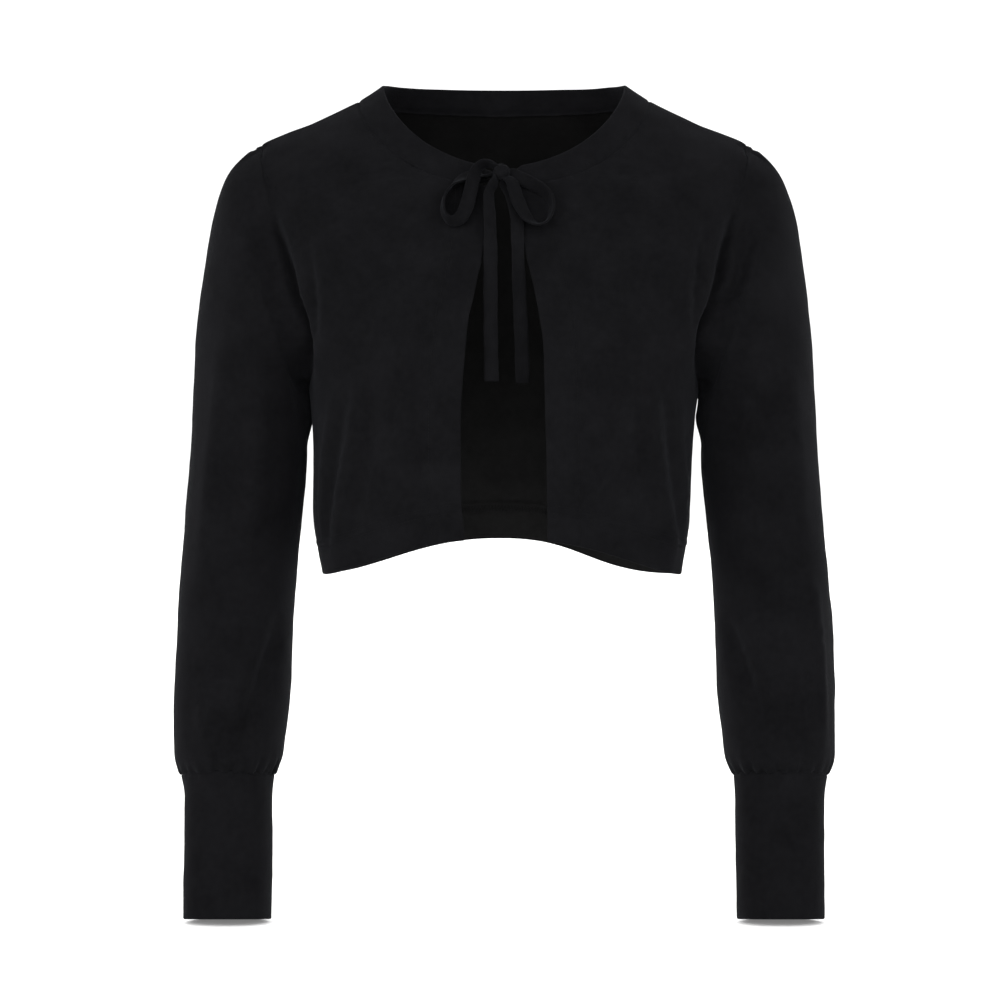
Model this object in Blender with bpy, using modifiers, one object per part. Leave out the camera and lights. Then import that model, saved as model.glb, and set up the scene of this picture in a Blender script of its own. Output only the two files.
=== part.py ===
"""A cropped, long-sleeved cardigan that ties at the neck, in the hollow form it has when worn.

Metres, +Z up. The front faces -Y, and +X is the wearer's left. The origin lies in the middle of the
neck opening, level with the highest points of the neckband, where the wearer's shoulders carry it.

The body is one form, made of level rings from the neck seam to the hem. A ring is a squared ellipse,
and an angle along it runs from 0 at the side or shoulder seam to 90 degrees at the centre. Fronts and
back are stretches of those rings. A sleeve is a tube of rings that fan out from the armhole.
"""

import bmesh
import bpy
import math
from bisect import bisect_right
from collections import Counter, defaultdict, namedtuple
from mathutils import Vector

# Driving sizes
JERSEY = 0.0015          # one layer of the knitted cloth
FOLDED_JERSEY = 0.0025   # two layers, as in the neckband and the cuffs
SEAM_GAP = 0.0004        # between two pieces that are sewn together
SHARPEST_MITRE = 0.75    # cosine of half the turn past which a seam's mitre isn't lengthened
TIE_WIDTH = 0.0105
TIE_THICKNESS = 0.0022

CENTRE = math.radians(90)

# Rings of the body form, from the neck seam down to the hem. side_z is the ring's height at the side.
# A ring rises (or dips) by front_rise at the centre front and back_rise at the centre back, and a
# higher power keeps that rise nearer the centre. middle is how far the ring hangs to one side.
Level = namedtuple("Level", "side_z front_rise back_rise front_power back_power "
                            "half_width middle front_depth back_depth squareness")
LEVELS = [
    Level(-0.012, -0.073, -0.003, 1.2, 1.5, 0.1130, 0.0000, 0.072, 0.072, 2.00),   # neck seam
    Level(-0.029, -0.068, -0.007, 1.2, 1.3, 0.1495, 0.0000, 0.079, 0.082, 1.88),   # half way to the next
    Level(-0.047, -0.064, -0.013, 1.1, 1.2, 0.1880, 0.0000, 0.085, 0.090, 1.82),   # shoulder point
    Level(-0.100, -0.042, -0.006, 1.2, 1.3, 0.1935, 0.0000, 0.098, 0.101, 1.95),
    Level(-0.165, -0.013, 0.000, 1.5, 1.5, 0.1840, 0.0000, 0.111, 0.107, 2.25),
    Level(-0.200, -0.004, 0.001, 1.5, 2.0, 0.1710, 0.0000, 0.117, 0.107, 2.38),
    Level(-0.235, 0.000, 0.002, 2.0, 2.5, 0.1520, 0.0000, 0.121, 0.105, 2.40),     # underarm
    Level(-0.285, 0.005, 0.006, 2.5, 3.0, 0.1474, -0.0008, 0.121, 0.102, 2.40),
    Level(-0.335, 0.014, 0.014, 3.0, 3.5, 0.1470, -0.0020, 0.118, 0.100, 2.35),
    Level(-0.380, 0.0285, 0.0270, 3.3, 4.0, 0.1404, -0.0016, 0.114, 0.098, 2.30),  # hem
]

# The back hangs lower beside the wearer's left hip.
SAG_X = 0.085
SAG_WIDTH = 0.040
SAG_DEPTH = 0.0055

# The armhole is a loop on that form: 0 degrees at the shoulder point, 90 at the front, 180 under the arm.
ARMHOLE_TOP = -0.047
ARMHOLE_BOTTOM = -0.235
ARMHOLE_FRONT_REACH = math.radians(31)
ARMHOLE_BACK_REACH = math.radians(22)
ARMHOLE_SCOOP = 0.25     # how much deeper the loop is cut low down than high up
ARMHOLE_HALF_DEPTH = 0.056
HEAD_RINGS = 7           # of a sleeve, over which the armhole's shape gives way to a round one

# How far each front edge lies from the middle, by the height of its ring at the side.
Edge = namedtuple("Edge", "side_z right left")
FRONT_EDGES = [
    Edge(-0.012, 0.0125, 0.0070),
    Edge(-0.047, 0.0137, 0.0115),
    Edge(-0.080, 0.0152, 0.0155),
    Edge(-0.103, 0.0173, 0.0182),
    Edge(-0.119, 0.0195, 0.0203),
    Edge(-0.158, 0.0240, 0.0248),
    Edge(-0.176, 0.0270, 0.0270),
    Edge(-0.204, 0.0293, 0.0300),
    Edge(-0.235, 0.0315, 0.0308),
    Edge(-0.260, 0.0327, 0.0313),
    Edge(-0.325, 0.0327, 0.0327),
    Edge(-0.380, 0.0298, 0.0332),
]

# The neckband stands on the neck seam and leans inwards to this upper edge. Its ends narrow to the ties.
BAND_HALF_WIDTH = 0.0945
BAND_FRONT_DEPTH = 0.0635
BAND_BACK_DEPTH = 0.0700
BAND_FRONT_DIP = 0.0695
BAND_FRONT_POWER = 1.3
BAND_BACK_RISE = 0.0042
BAND_BACK_POWER = 0.6
BAND_END_REACH = {-1: 0.0045, 1: 0.0032}

# Rings of a sleeve after the armhole. Each spans from its outer edge to its inner one.
SleeveRing = namedtuple("SleeveRing", "outer_x outer_z inner_x inner_z middle_y half_depth")
SLEEVE_RINGS = [
    SleeveRing(0.2040, -0.0560, 0.1570, -0.2378, -0.006, 0.0530),
    SleeveRing(0.2170, -0.0730, 0.1575, -0.2430, -0.005, 0.0540),
    SleeveRing(0.2270, -0.1010, 0.1575, -0.2480, -0.003, 0.0530),
    SleeveRing(0.2330, -0.1380, 0.1565, -0.2540, -0.002, 0.0520),
    SleeveRing(0.2380, -0.1800, 0.1550, -0.2640, -0.001, 0.0510),
    SleeveRing(0.2420, -0.2400, 0.1535, -0.2850, 0.000, 0.0495),
    SleeveRing(0.2455, -0.2950, 0.1558, -0.3180, 0.000, 0.0475),
    SleeveRing(0.2498, -0.3500, 0.1598, -0.3580, -0.002, 0.0460),
    SleeveRing(0.2535, -0.4010, 0.1627, -0.4010, -0.006, 0.0450),
    SleeveRing(0.2542, -0.4450, 0.1645, -0.4450, -0.011, 0.0440),
    SleeveRing(0.2555, -0.4850, 0.1667, -0.4850, -0.016, 0.0430),
    SleeveRing(0.2553, -0.5120, 0.1698, -0.5100, -0.019, 0.0415),
    SleeveRing(0.2537, -0.5265, 0.1728, -0.5260, -0.021, 0.0385),
    SleeveRing(0.2500, -0.5350, 0.1775, -0.5350, -0.022, 0.0335),
]

# Level rings of a cuff below its seam, down to its folded edge.
# A ring's front is higher by front_rise, because the forearm swings a little forward.
CuffRing = namedtuple("CuffRing", "z front_rise outer_x inner_x middle_y half_depth")
CUFF_RINGS = [
    CuffRing(-0.5460, 0.0005, 0.2478, 0.1787, -0.023, 0.0305),
    CuffRing(-0.5620, 0.0010, 0.2472, 0.1791, -0.024, 0.0295),
    CuffRing(-0.6030, 0.0020, 0.2470, 0.1791, -0.026, 0.0290),
    CuffRing(-0.6455, 0.0032, 0.2472, 0.1795, -0.028, 0.0285),
]
TUBE_SQUARENESS = 2.15

# The largest folds. Each is a soft trough or ridge, seen from the front or back, along a curve that
# bends from its start over its middle to its end. A trough has a negative height.
Fold = namedtuple("Fold", "face start middle end height width")
FOLDS = [
    # across both armholes, where the arms hang
    Fold("front", (-0.171, -0.125), (-0.163, -0.165), (-0.152, -0.218), -0.0050, 0.012),
    Fold("front", (0.170, -0.120), (0.162, -0.163), (0.152, -0.214), -0.0050, 0.012),
    Fold("front", (-0.156, -0.118), (-0.146, -0.158), (-0.145, -0.200), -0.0030, 0.012),
    Fold("front", (0.158, -0.112), (0.150, -0.150), (0.147, -0.182), -0.0025, 0.012),
    Fold("back", (-0.170, -0.120), (-0.158, -0.170), (-0.146, -0.222), -0.0050, 0.013),
    Fold("back", (0.170, -0.125), (0.159, -0.168), (0.147, -0.220), -0.0045, 0.013),
    Fold("back", (-0.140, -0.150), (-0.127, -0.195), (-0.126, -0.250), -0.0035, 0.014),
    Fold("back", (0.143, -0.145), (0.129, -0.190), (0.123, -0.240), -0.0040, 0.014),
    # down the sides of the body
    Fold("front", (-0.112, -0.232), (-0.122, -0.300), (-0.132, -0.374), 0.0040, 0.012),
    Fold("front", (0.114, -0.236), (0.121, -0.302), (0.134, -0.374), 0.0035, 0.012),
    Fold("back", (-0.092, -0.262), (-0.100, -0.318), (-0.121, -0.375), 0.0040, 0.014),
    Fold("back", (0.104, -0.246), (0.108, -0.308), (0.119, -0.375), 0.0035, 0.014),
    # on the sleeves
    Fold("front", (-0.214, -0.205), (-0.226, -0.315), (-0.231, -0.400), 0.0030, 0.014),
    Fold("front", (0.217, -0.215), (0.226, -0.300), (0.229, -0.380), 0.0025, 0.014),
    Fold("front", (-0.172, -0.417), (-0.192, -0.475), (-0.203, -0.520), -0.0045, 0.014),
    Fold("front", (0.171, -0.415), (0.188, -0.470), (0.197, -0.522), -0.0045, 0.014),
    Fold("back", (-0.238, -0.268), (-0.212, -0.322), (-0.178, -0.345), -0.0040, 0.015),
    Fold("back", (0.240, -0.280), (0.214, -0.330), (0.180, -0.356), -0.0040, 0.015),
    Fold("back", (-0.236, -0.415), (-0.221, -0.470), (-0.219, -0.520), -0.0040, 0.014),
    Fold("back", (0.233, -0.400), (0.222, -0.462), (0.214, -0.520), -0.0040, 0.014),
]

# Routes of the ties. ahead is the distance in front of the garment's face, and is below zero where a
# tail hangs between the fronts. turn is 0 where the tie lies flat and 90 where its edge faces forward.
Tie = namedtuple("Tie", "x z ahead turn")
LOOP_RIGHT = [
    Tie(-0.0081, -0.0700, 0.0074, 60), Tie(-0.0125, -0.0680, 0.0074, 55), Tie(-0.0175, -0.0690, 0.0078, 45),
    Tie(-0.0215, -0.0737, 0.0084, 22), Tie(-0.0237, -0.0820, 0.0084, 10), Tie(-0.0260, -0.0930, 0.0082, 8),
    Tie(-0.0292, -0.1040, 0.0080, 16), Tie(-0.0335, -0.1110, 0.0078, 42), Tie(-0.0390, -0.1130, 0.0076, 70),
    Tie(-0.0440, -0.1095, 0.0074, 85), Tie(-0.0464, -0.1015, 0.0074, 88), Tie(-0.0452, -0.0935, 0.0073, 85),
    Tie(-0.0405, -0.0862, 0.0068, 72), Tie(-0.0340, -0.0806, 0.0060, 38), Tie(-0.0270, -0.0772, 0.0038, 8),
    Tie(-0.0190, -0.0760, 0.0028, 2), Tie(-0.0125, -0.0756, 0.0023, 0), Tie(-0.0083, -0.0755, 0.0023, 0),
]
LOOP_LEFT = [
    Tie(0.0056, -0.0822, 0.0090, 12), Tie(0.0072, -0.0862, 0.0086, 10), Tie(0.0092, -0.0930, 0.0080, 10),
    Tie(0.0126, -0.1020, 0.0078, 13), Tie(0.0165, -0.1090, 0.0078, 25), Tie(0.0215, -0.1138, 0.0076, 45),
    Tie(0.0270, -0.1153, 0.0074, 65), Tie(0.0322, -0.1130, 0.0074, 80), Tie(0.0354, -0.1070, 0.0074, 88),
    Tie(0.0362, -0.1000, 0.0074, 88), Tie(0.0338, -0.0933, 0.0072, 80), Tie(0.0285, -0.0880, 0.0066, 64),
    Tie(0.0215, -0.0838, 0.0060, 42), Tie(0.0150, -0.0802, 0.0044, 18), Tie(0.0100, -0.0772, 0.0036, 8),
    Tie(0.0062, -0.0750, 0.0032, 6),
]
TAIL_RIGHT = [
    Tie(-0.0063, -0.0803, 0.0072, 66), Tie(-0.0094, -0.0862, 0.0080, 66), Tie(-0.0114, -0.0935, 0.0072, 46),
    Tie(-0.0111, -0.1020, 0.0052, 20), Tie(-0.0104, -0.1120, 0.0038, 8), Tie(-0.0101, -0.1240, 0.0034, 4),
    Tie(-0.0100, -0.1350, 0.0028, 3), Tie(-0.0101, -0.1480, -0.0025, 2), Tie(-0.0101, -0.1650, -0.0085, 0),
    Tie(-0.0100, -0.1850, -0.0140, 0), Tie(-0.0097, -0.2100, -0.0180, 2), Tie(-0.0092, -0.2350, -0.0200, 4),
]
TAIL_LEFT = [
    Tie(0.0006, -0.0818, 0.0030, 10), Tie(0.0036, -0.0880, 0.0032, 4), Tie(0.0076, -0.0980, 0.0032, 2),
    Tie(0.0096, -0.1080, 0.0034, 0), Tie(0.0101, -0.1200, 0.0034, 2), Tie(0.0103, -0.1330, 0.0028, 6),
    Tie(0.0107, -0.1460, -0.0020, 10), Tie(0.0114, -0.1620, -0.0080, 12), Tie(0.0123, -0.1830, -0.0140, 8),
    Tie(0.0133, -0.2100, -0.0185, 2), Tie(0.0140, -0.2365, -0.0205, 0),
]
KNOT_CENTRE = Tie(-0.0021, -0.0745, 0.0036, 0)
KNOT_SIZE = Vector((0.0110, 0.0100, 0.0120))
KNOT_PINCH = 0.6
KNOT_PINCH_REACH = 0.012

# Mesh steps
ARMHOLE_STEPS = 10       # from the shoulder point to the underarm
SHOULDER_STEPS = 3
SIDE_STEPS = 7
FRONT_STEPS = 13         # from the side to the front edge
BACK_STEPS = 26
BAND_STEPS = 2
TIE_STEPS = 2            # between two rows of a tie's route
FOLD_SAMPLES = 9

BLACK = (0.010, 0.010, 0.011, 1.0)

Cut = namedtuple("Cut", "name rows thickness tube")


def smooth(stations, values, at):
    """A smooth curve through a table's rows, which never swings past them."""
    order = sorted(range(len(stations)), key=lambda i: stations[i])
    xs = [stations[i] for i in order]
    ys = [values[i] for i in order]
    at = min(max(at, xs[0]), xs[-1])
    slopes = [(ys[i + 1] - ys[i]) / (xs[i + 1] - xs[i]) for i in range(len(xs) - 1)]
    tangents = [slopes[0]]
    for before, after in zip(slopes, slopes[1:]):
        tangents.append(0.0 if before * after <= 0 else 2 * before * after / (before + after))
    tangents.append(slopes[-1])
    i = min(max(bisect_right(xs, at) - 1, 0), len(xs) - 2)
    step = xs[i + 1] - xs[i]
    t = (at - xs[i]) / step
    return ((2 * t**3 - 3 * t**2 + 1) * ys[i] + (t**3 - 2 * t**2 + t) * step * tangents[i]
            + (3 * t**2 - 2 * t**3) * ys[i + 1] + (t**3 - t**2) * step * tangents[i + 1])


def column(rows, name):
    return [getattr(row, name) for row in rows]


def at_level(name, side_z):
    return smooth(column(LEVELS, "side_z"), column(LEVELS, name), side_z)


# The body form

def body_point(side_z, angle, side, face):
    """A point of the body form. side is +1 for the wearer's left and -1 for the right; face is front or back."""
    power = 2 / at_level("squareness", side_z)
    across = at_level("half_width", side_z) * max(math.cos(angle), 0.0) ** power
    depth = at_level(face + "_depth", side_z) * math.sin(angle) ** power
    rise = at_level(face + "_rise", side_z) * math.sin(angle) ** at_level(face + "_power", side_z)
    x = at_level("middle", side_z) + side * across
    if face == "back" and side_z < ARMHOLE_BOTTOM:
        low_down = (ARMHOLE_BOTTOM - side_z) / (ARMHOLE_BOTTOM - LEVELS[-1].side_z)
        off_the_seam = math.sin(min(2 * angle, CENTRE))
        rise -= SAG_DEPTH * low_down**2 * off_the_seam * math.exp(-((x - SAG_X) / SAG_WIDTH)**2)
    return Vector((x, -depth if face == "front" else depth, side_z + rise))


def angle_at(side_z, x):
    """The angle at which a ring of the body form reaches a place beside the middle."""
    share = min(1.0, abs(x - at_level("middle", side_z)) / at_level("half_width", side_z))
    return math.acos(share ** (at_level("squareness", side_z) / 2))


def armhole(turn, face):
    """(side_z, angle) of the armhole loop at a turn of 0 at the shoulder point to 180 degrees at the underarm."""
    middle = (ARMHOLE_TOP + ARMHOLE_BOTTOM) / 2
    half = (ARMHOLE_TOP - ARMHOLE_BOTTOM) / 2
    reach = ARMHOLE_FRONT_REACH if face == "front" else ARMHOLE_BACK_REACH
    angle = reach * math.sin(turn) * (1 - ARMHOLE_SCOOP * math.cos(turn))
    return middle + half * math.cos(turn), max(angle, 0.0)


def armhole_point(turn, side):
    """A point of the armhole loop. turn runs all the way round, front first."""
    if turn <= math.pi:
        return body_point(*armhole(turn, "front"), side, "front")
    return body_point(*armhole(2 * math.pi - turn, "back"), side, "back")


def outline_rows(face):
    """(side_z, angle) where each row of a body panel starts, from the hem up to the neck seam."""
    hem, neck = LEVELS[-1].side_z, LEVELS[0].side_z
    side = [(hem + (ARMHOLE_BOTTOM - hem) * i / SIDE_STEPS, 0.0) for i in range(SIDE_STEPS)]
    arm = [armhole(math.pi * (1 - i / ARMHOLE_STEPS), face) for i in range(ARMHOLE_STEPS + 1)]
    shoulder = [(ARMHOLE_TOP + (neck - ARMHOLE_TOP) * i / SHOULDER_STEPS, 0.0)
                for i in range(1, SHOULDER_STEPS + 1)]
    return side + arm + shoulder


def front_edge_angle(side_z, side):
    across = column(FRONT_EDGES, "left" if side > 0 else "right")
    return angle_at(side_z, side * smooth(column(FRONT_EDGES, "side_z"), across, side_z))


def front_panel(side):
    """Rows of one front, hem to neck seam, from its side or armhole to its front edge."""
    rows = []
    for side_z, start in outline_rows("front"):
        end = front_edge_angle(side_z, side)
        rows.append([body_point(side_z, start + (end - start) * i / FRONT_STEPS, side, "front")
                     for i in range(FRONT_STEPS + 1)])
    return rows


def back_panel():
    """Rows of the back, hem to neck seam, from the wearer's left side to the right."""
    rows = []
    for side_z, start in outline_rows("back"):
        half = [start + (CENTRE - start) * 2 * i / BACK_STEPS for i in range(BACK_STEPS // 2 + 1)]
        left = [body_point(side_z, angle, 1, "back") for angle in half]
        right = [body_point(side_z, angle, -1, "back") for angle in half[:-1]]
        rows.append(left + right[::-1])
    return rows


# Sleeves, cuffs and neckband

def tube_turns():
    return [math.pi * i / ARMHOLE_STEPS for i in range(2 * ARMHOLE_STEPS)]


def rounded_ring():
    """(across, ahead) around a tube's ring, from its outer edge round its front, each from -1 to 1."""
    power = 2 / TUBE_SQUARENESS
    return [(math.copysign(abs(math.cos(turn)) ** power, math.cos(turn)),
             math.copysign(abs(math.sin(turn)) ** power, math.sin(turn))) for turn in tube_turns()]


def armhole_ring():
    """(across, ahead) around the armhole, on the same scale."""
    outer, inner = armhole_point(0, 1), armhole_point(math.pi, 1)
    down = inner - outer
    points = [armhole_point(turn, 1) for turn in tube_turns()]
    return [(1 - 2 * (point - outer).dot(down) / down.length_squared, -point.y / ARMHOLE_HALF_DEPTH)
            for point in points]


def tube_ring(outer, inner, middle_y, half_depth, armhole_share=0.0):
    """A ring of a sleeve or cuff, which may keep a share of the armhole's shape."""
    ring = []
    for rounded, sewn in zip(rounded_ring(), armhole_ring()):
        across, ahead = ((1 - armhole_share) * a + armhole_share * b for a, b in zip(rounded, sewn))
        point = (outer + inner) / 2 + (outer - inner) / 2 * across
        point.y = middle_y - half_depth * ahead
        ring.append(point)
    return ring


def sleeve_rings(side):
    """Rings of one sleeve, from the armhole down to the cuff seam."""
    rings = [[armhole_point(turn, side) for turn in tube_turns()]]
    for i, ring in enumerate(SLEEVE_RINGS):
        outer = Vector((side * ring.outer_x, 0, ring.outer_z))
        inner = Vector((side * ring.inner_x, 0, ring.inner_z))
        share = max(0.0, 1 - (i + 1) / HEAD_RINGS)
        rings.append(tube_ring(outer, inner, ring.middle_y * (1 - share), ring.half_depth, share))
    return rings


def cuff_rings(side):
    """Rings of one cuff, from its seam down to its folded edge."""
    rings = [sleeve_rings(side)[-1]]
    for ring in CUFF_RINGS:
        outer = Vector((side * ring.outer_x, 0, ring.z))
        inner = Vector((side * ring.inner_x, 0, ring.z))
        points = tube_ring(outer, inner, ring.middle_y, ring.half_depth)
        for point in points:
            point.z += ring.front_rise * (ring.middle_y - point.y) / ring.half_depth
        rings.append(points)
    return rings


def band_top(angle, side, face):
    """A point of the neckband's upper edge."""
    ahead, across = math.sin(angle), BAND_HALF_WIDTH * math.cos(angle)
    if face == "front":
        return Vector((side * across, -BAND_FRONT_DEPTH * ahead, -BAND_FRONT_DIP * ahead ** BAND_FRONT_POWER))
    return Vector((side * across, BAND_BACK_DEPTH * ahead, BAND_BACK_RISE * ahead ** BAND_BACK_POWER))


def band_stretch(side, face):
    """(seam point, top point) pairs of a quarter of the neckband, from the shoulder to the centre."""
    neck = LEVELS[0].side_z
    end = front_edge_angle(neck, side) if face == "front" else CENTRE
    steps = FRONT_STEPS if face == "front" else BACK_STEPS // 2
    angles = [end * i / steps for i in range(steps + 1)]
    return [(body_point(neck, angle, side, face), band_top(angle, side, face)) for angle in angles]


def tie_end(pair, side):
    """The neckband's end narrowed to the width of a tie."""
    low, high = pair
    middle = (low + high) / 2 + Vector((-side * BAND_END_REACH[side], 0, 0))
    half = (high - low).normalized() * TIE_WIDTH / 2
    return middle - half, middle + half


def neckband_rows():
    """Rows of the neckband, seam to top, from the wearer's left front edge round the back to the right one."""
    left, right = band_stretch(1, "front"), band_stretch(-1, "front")
    pairs = ([tie_end(left[-1], 1)] + left[::-1] + band_stretch(1, "back")[1:]
             + band_stretch(-1, "back")[-2:0:-1] + right + [tie_end(right[-1], -1)])
    return [[low.lerp(high, i / BAND_STEPS) for low, high in pairs] for i in range(BAND_STEPS + 1)]


# Cloth walls

def grid_faces(rows, tube):
    """The four corners of each face of a grid."""
    across = len(rows[0])
    for low, high in zip(rows, rows[1:]):
        for i in range(across if tube else across - 1):
            j = (i + 1) % across
            yield low[i], low[j], high[j], high[i]


def place(point):
    """A point's place to a micrometre, which pieces share where they are sewn together."""
    return tuple(round(value, 6) for value in point)


def edges_and_directions(cuts):
    """How often each edge is used, and the outward direction at each point, evened out across the seams."""
    outward, uses = defaultdict(Vector), Counter()
    for cut in cuts:
        for face in grid_faces(cut.rows, cut.tube):
            direction = (face[2] - face[0]).cross(face[3] - face[1]).normalized()
            for corner, following in zip(face, face[1:] + face[:1]):
                outward[place(corner)] += direction
                uses[frozenset((place(corner), place(following)))] += 1
    return {key: direction.normalized() for key, direction in outward.items()}, uses


def fold_curve(fold):
    """Points along a fold, with the share of its height that it has there."""
    start, middle, end = (Vector((x, 0, z)) for x, z in (fold.start, fold.middle, fold.end))
    points = []
    for i in range(FOLD_SAMPLES):
        t = i / (FOLD_SAMPLES - 1)
        control = 2 * middle - (start + end) / 2
        point = (1 - t)**2 * start + 2 * t * (1 - t) * control + t**2 * end
        points.append((point, math.sqrt(max(0.0, 1 - (2 * t - 1)**4))))
    return points


def fold_height(point, outward, curves):
    """How far the folds move a point of the cloth outwards."""
    height = 0.0
    for fold, points in curves:
        facing = -outward.y if fold.face == "front" else outward.y
        if facing > 0:
            flat = Vector((point.x, 0, point.z))
            away, share = min(((flat - at).length, share) for at, share in points)
            height += fold.height * share * math.sqrt(facing) * math.exp(-(away / fold.width)**2)
    return height


def folded(cuts):
    """The same pieces with the largest folds in their cloth."""
    outward, uses = edges_and_directions(cuts)
    curves = [(fold, fold_curve(fold)) for fold in FOLDS]

    def moved(point):
        direction = outward[place(point)]
        return point + direction * fold_height(point, direction, curves)

    return [cut._replace(rows=[[moved(point) for point in row] for row in cut.rows]) for cut in cuts]


def new_object(name, mesh):
    mesh.shade_smooth()
    mesh.materials.append(jersey)
    piece = bpy.data.objects.new(name, mesh)
    garment.objects.link(piece)
    return piece


def sewn_wall(cut, outward, uses):
    """A piece of cloth with its outer face on the cut's grid. Its edges are mitred at the seams, half a
    seam gap short of them, so that its neighbours, which lean another way, lie cleanly against it."""
    shape = bmesh.new()
    grid = [[shape.verts.new(point) for point in row] for row in cut.rows]
    faces = [shape.faces.new(corners) for corners in grid_faces(grid, cut.tube)]
    shape.normal_update()
    outline = [edge.link_loops[0] for edge in shape.edges if edge.is_boundary]
    away = defaultdict(list)
    for loop in outline:
        ends = loop.vert, loop.link_loop_next.vert
        if uses[frozenset(place(vert.co) for vert in ends)] == 2:
            for vert in ends:
                away[vert].append(loop.face.normal.cross(ends[1].co - ends[0].co).normalized())
    inner = {}
    for vert in list(shape.verts):
        direction = outward[place(vert.co)]
        lean = sum(direction.dot(face.normal) for face in vert.link_faces) / len(vert.link_faces)
        inner[vert] = shape.verts.new(vert.co - direction * cut.thickness / max(lean, SHARPEST_MITRE))
    for vert, ways in away.items():
        shift = sum(ways, Vector()) / (1 if len(ways) == 1 else 1 + ways[0].dot(ways[1]))
        for moved in (vert, inner[vert]):
            moved.co += shift * SEAM_GAP / 2
    rims = [(loop.link_loop_next.vert, loop.vert) for loop in outline]
    for face in faces:
        shape.faces.new([inner[vert] for vert in reversed(face.verts)])
    for start, end in rims:
        shape.faces.new((start, end, inner[end], inner[start]))
    bmesh.ops.triangulate(shape, faces=shape.faces, quad_method="SHORT_EDGE")
    mesh = bpy.data.meshes.new(cut.name)
    shape.to_mesh(mesh)
    shape.free()
    return new_object(cut.name, mesh)


# Ties

def garment_front(x, z):
    """The y of the garment's front face at a place, also across the gap between the fronts."""
    neck = LEVELS[0].side_z
    seam = body_point(neck, angle_at(neck, x), 1, "front")
    if z > seam.z:
        top = band_top(math.acos(abs(x) / BAND_HALF_WIDTH), 1, "front")
        return seam.y + (top.y - seam.y) * (z - seam.z) / (top.z - seam.z)
    low, high = LEVELS[-1].side_z, neck
    while high - low > 1e-6:
        side_z = (low + high) / 2
        point = body_point(side_z, angle_at(side_z, x), 1, "front")
        low, high = (side_z, high) if point.z < z else (low, side_z)
    return point.y


def garment_facing(x, z):
    """The outward direction of the garment's front face at a place."""
    step = 0.002
    here = garment_front(x, z)
    return Vector((garment_front(x + step, z) - here, -step, garment_front(x, z + step) - here)).normalized()


def tie_place(row):
    return Vector((row.x, garment_front(row.x, row.z) - row.ahead, row.z))


def width_at(point):
    """A tie's width, which is pinched where it runs into the knot."""
    away = (point - tie_place(KNOT_CENTRE)).length
    share = min(max((away - KNOT_SIZE.x / 2) / KNOT_PINCH_REACH, 0.0), 1.0)
    return TIE_WIDTH * (KNOT_PINCH + (1 - KNOT_PINCH) * math.sin(share * CENTRE))


def tie_stretch(name, route):
    """A stretch of a tie: a ribbon along its route, thickened to both sides."""
    stations = list(range(len(route)))
    places = [tie_place(row) for row in route]
    count = (len(route) - 1) * TIE_STEPS + 1

    def along(at):
        return Vector([smooth(stations, [point[axis] for point in places], at) for axis in range(3)])

    shape = bmesh.new()
    rows = []
    for i in range(count):
        at = i / TIE_STEPS
        ahead = (along(min(at + 0.3, stations[-1])) - along(max(at - 0.3, 0))).normalized()
        middle = along(at)
        flat = ahead.cross(garment_facing(middle.x, middle.z)).normalized()
        turn = math.radians(smooth(stations, column(route, "turn"), at))
        half = (flat * math.cos(turn) + flat.cross(ahead) * math.sin(turn)) * width_at(middle) / 2
        rows.append([shape.verts.new(middle + half * share) for share in (-1, 0, 1)])
    for corners in grid_faces(rows, tube=False):
        shape.faces.new(corners)
    mesh = bpy.data.meshes.new(name)
    shape.to_mesh(mesh)
    shape.free()
    ribbon = new_object(name, mesh)
    wall = ribbon.modifiers.new("thickness", "SOLIDIFY")
    wall.thickness = TIE_THICKNESS
    wall.offset = 0


def knot():
    shape = bmesh.new()
    bmesh.ops.create_uvsphere(shape, u_segments=16, v_segments=10, radius=0.5)
    bmesh.ops.scale(shape, vec=KNOT_SIZE, verts=shape.verts)
    mesh = bpy.data.meshes.new("tie_knot")
    shape.to_mesh(mesh)
    shape.free()
    new_object("tie_knot", mesh).location = tie_place(KNOT_CENTRE)


def jersey_material():
    material = bpy.data.materials.new("black_jersey")
    material.use_nodes = True
    shader = material.node_tree.nodes["Principled BSDF"]
    shader.inputs["Base Color"].default_value = BLACK
    shader.inputs["Roughness"].default_value = 0.85
    shader.inputs["Metallic"].default_value = 0.0
    return material


def from_left(rows):
    """A mirrored piece's rows turned round, so that its outer face stays outside."""
    return [row[::-1] for row in rows]


for leftover in list(bpy.data.objects):
    bpy.data.objects.remove(leftover)
garment = bpy.data.collections.new("cardigan")
bpy.context.scene.collection.children.link(garment)
jersey = jersey_material()

pieces = folded([
    Cut("front_right", front_panel(-1), JERSEY, False),
    Cut("front_left", from_left(front_panel(1)), JERSEY, False),
    Cut("back", back_panel(), JERSEY, False),
    Cut("sleeve_right", sleeve_rings(-1)[::-1], JERSEY, True),
    Cut("sleeve_left", from_left(sleeve_rings(1)[::-1]), JERSEY, True),
    Cut("cuff_right", cuff_rings(-1)[::-1], FOLDED_JERSEY, True),
    Cut("cuff_left", from_left(cuff_rings(1)[::-1]), FOLDED_JERSEY, True),
    Cut("neckband", neckband_rows(), FOLDED_JERSEY, False),
])
directions, edge_uses = edges_and_directions(pieces)
for piece in pieces:
    sewn_wall(piece, directions, edge_uses)

tie_stretch("tie_loop_right", LOOP_RIGHT)
tie_stretch("tie_loop_left", LOOP_LEFT)
tie_stretch("tie_tail_right", TAIL_RIGHT)
tie_stretch("tie_tail_left", TAIL_LEFT)
knot()
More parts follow.
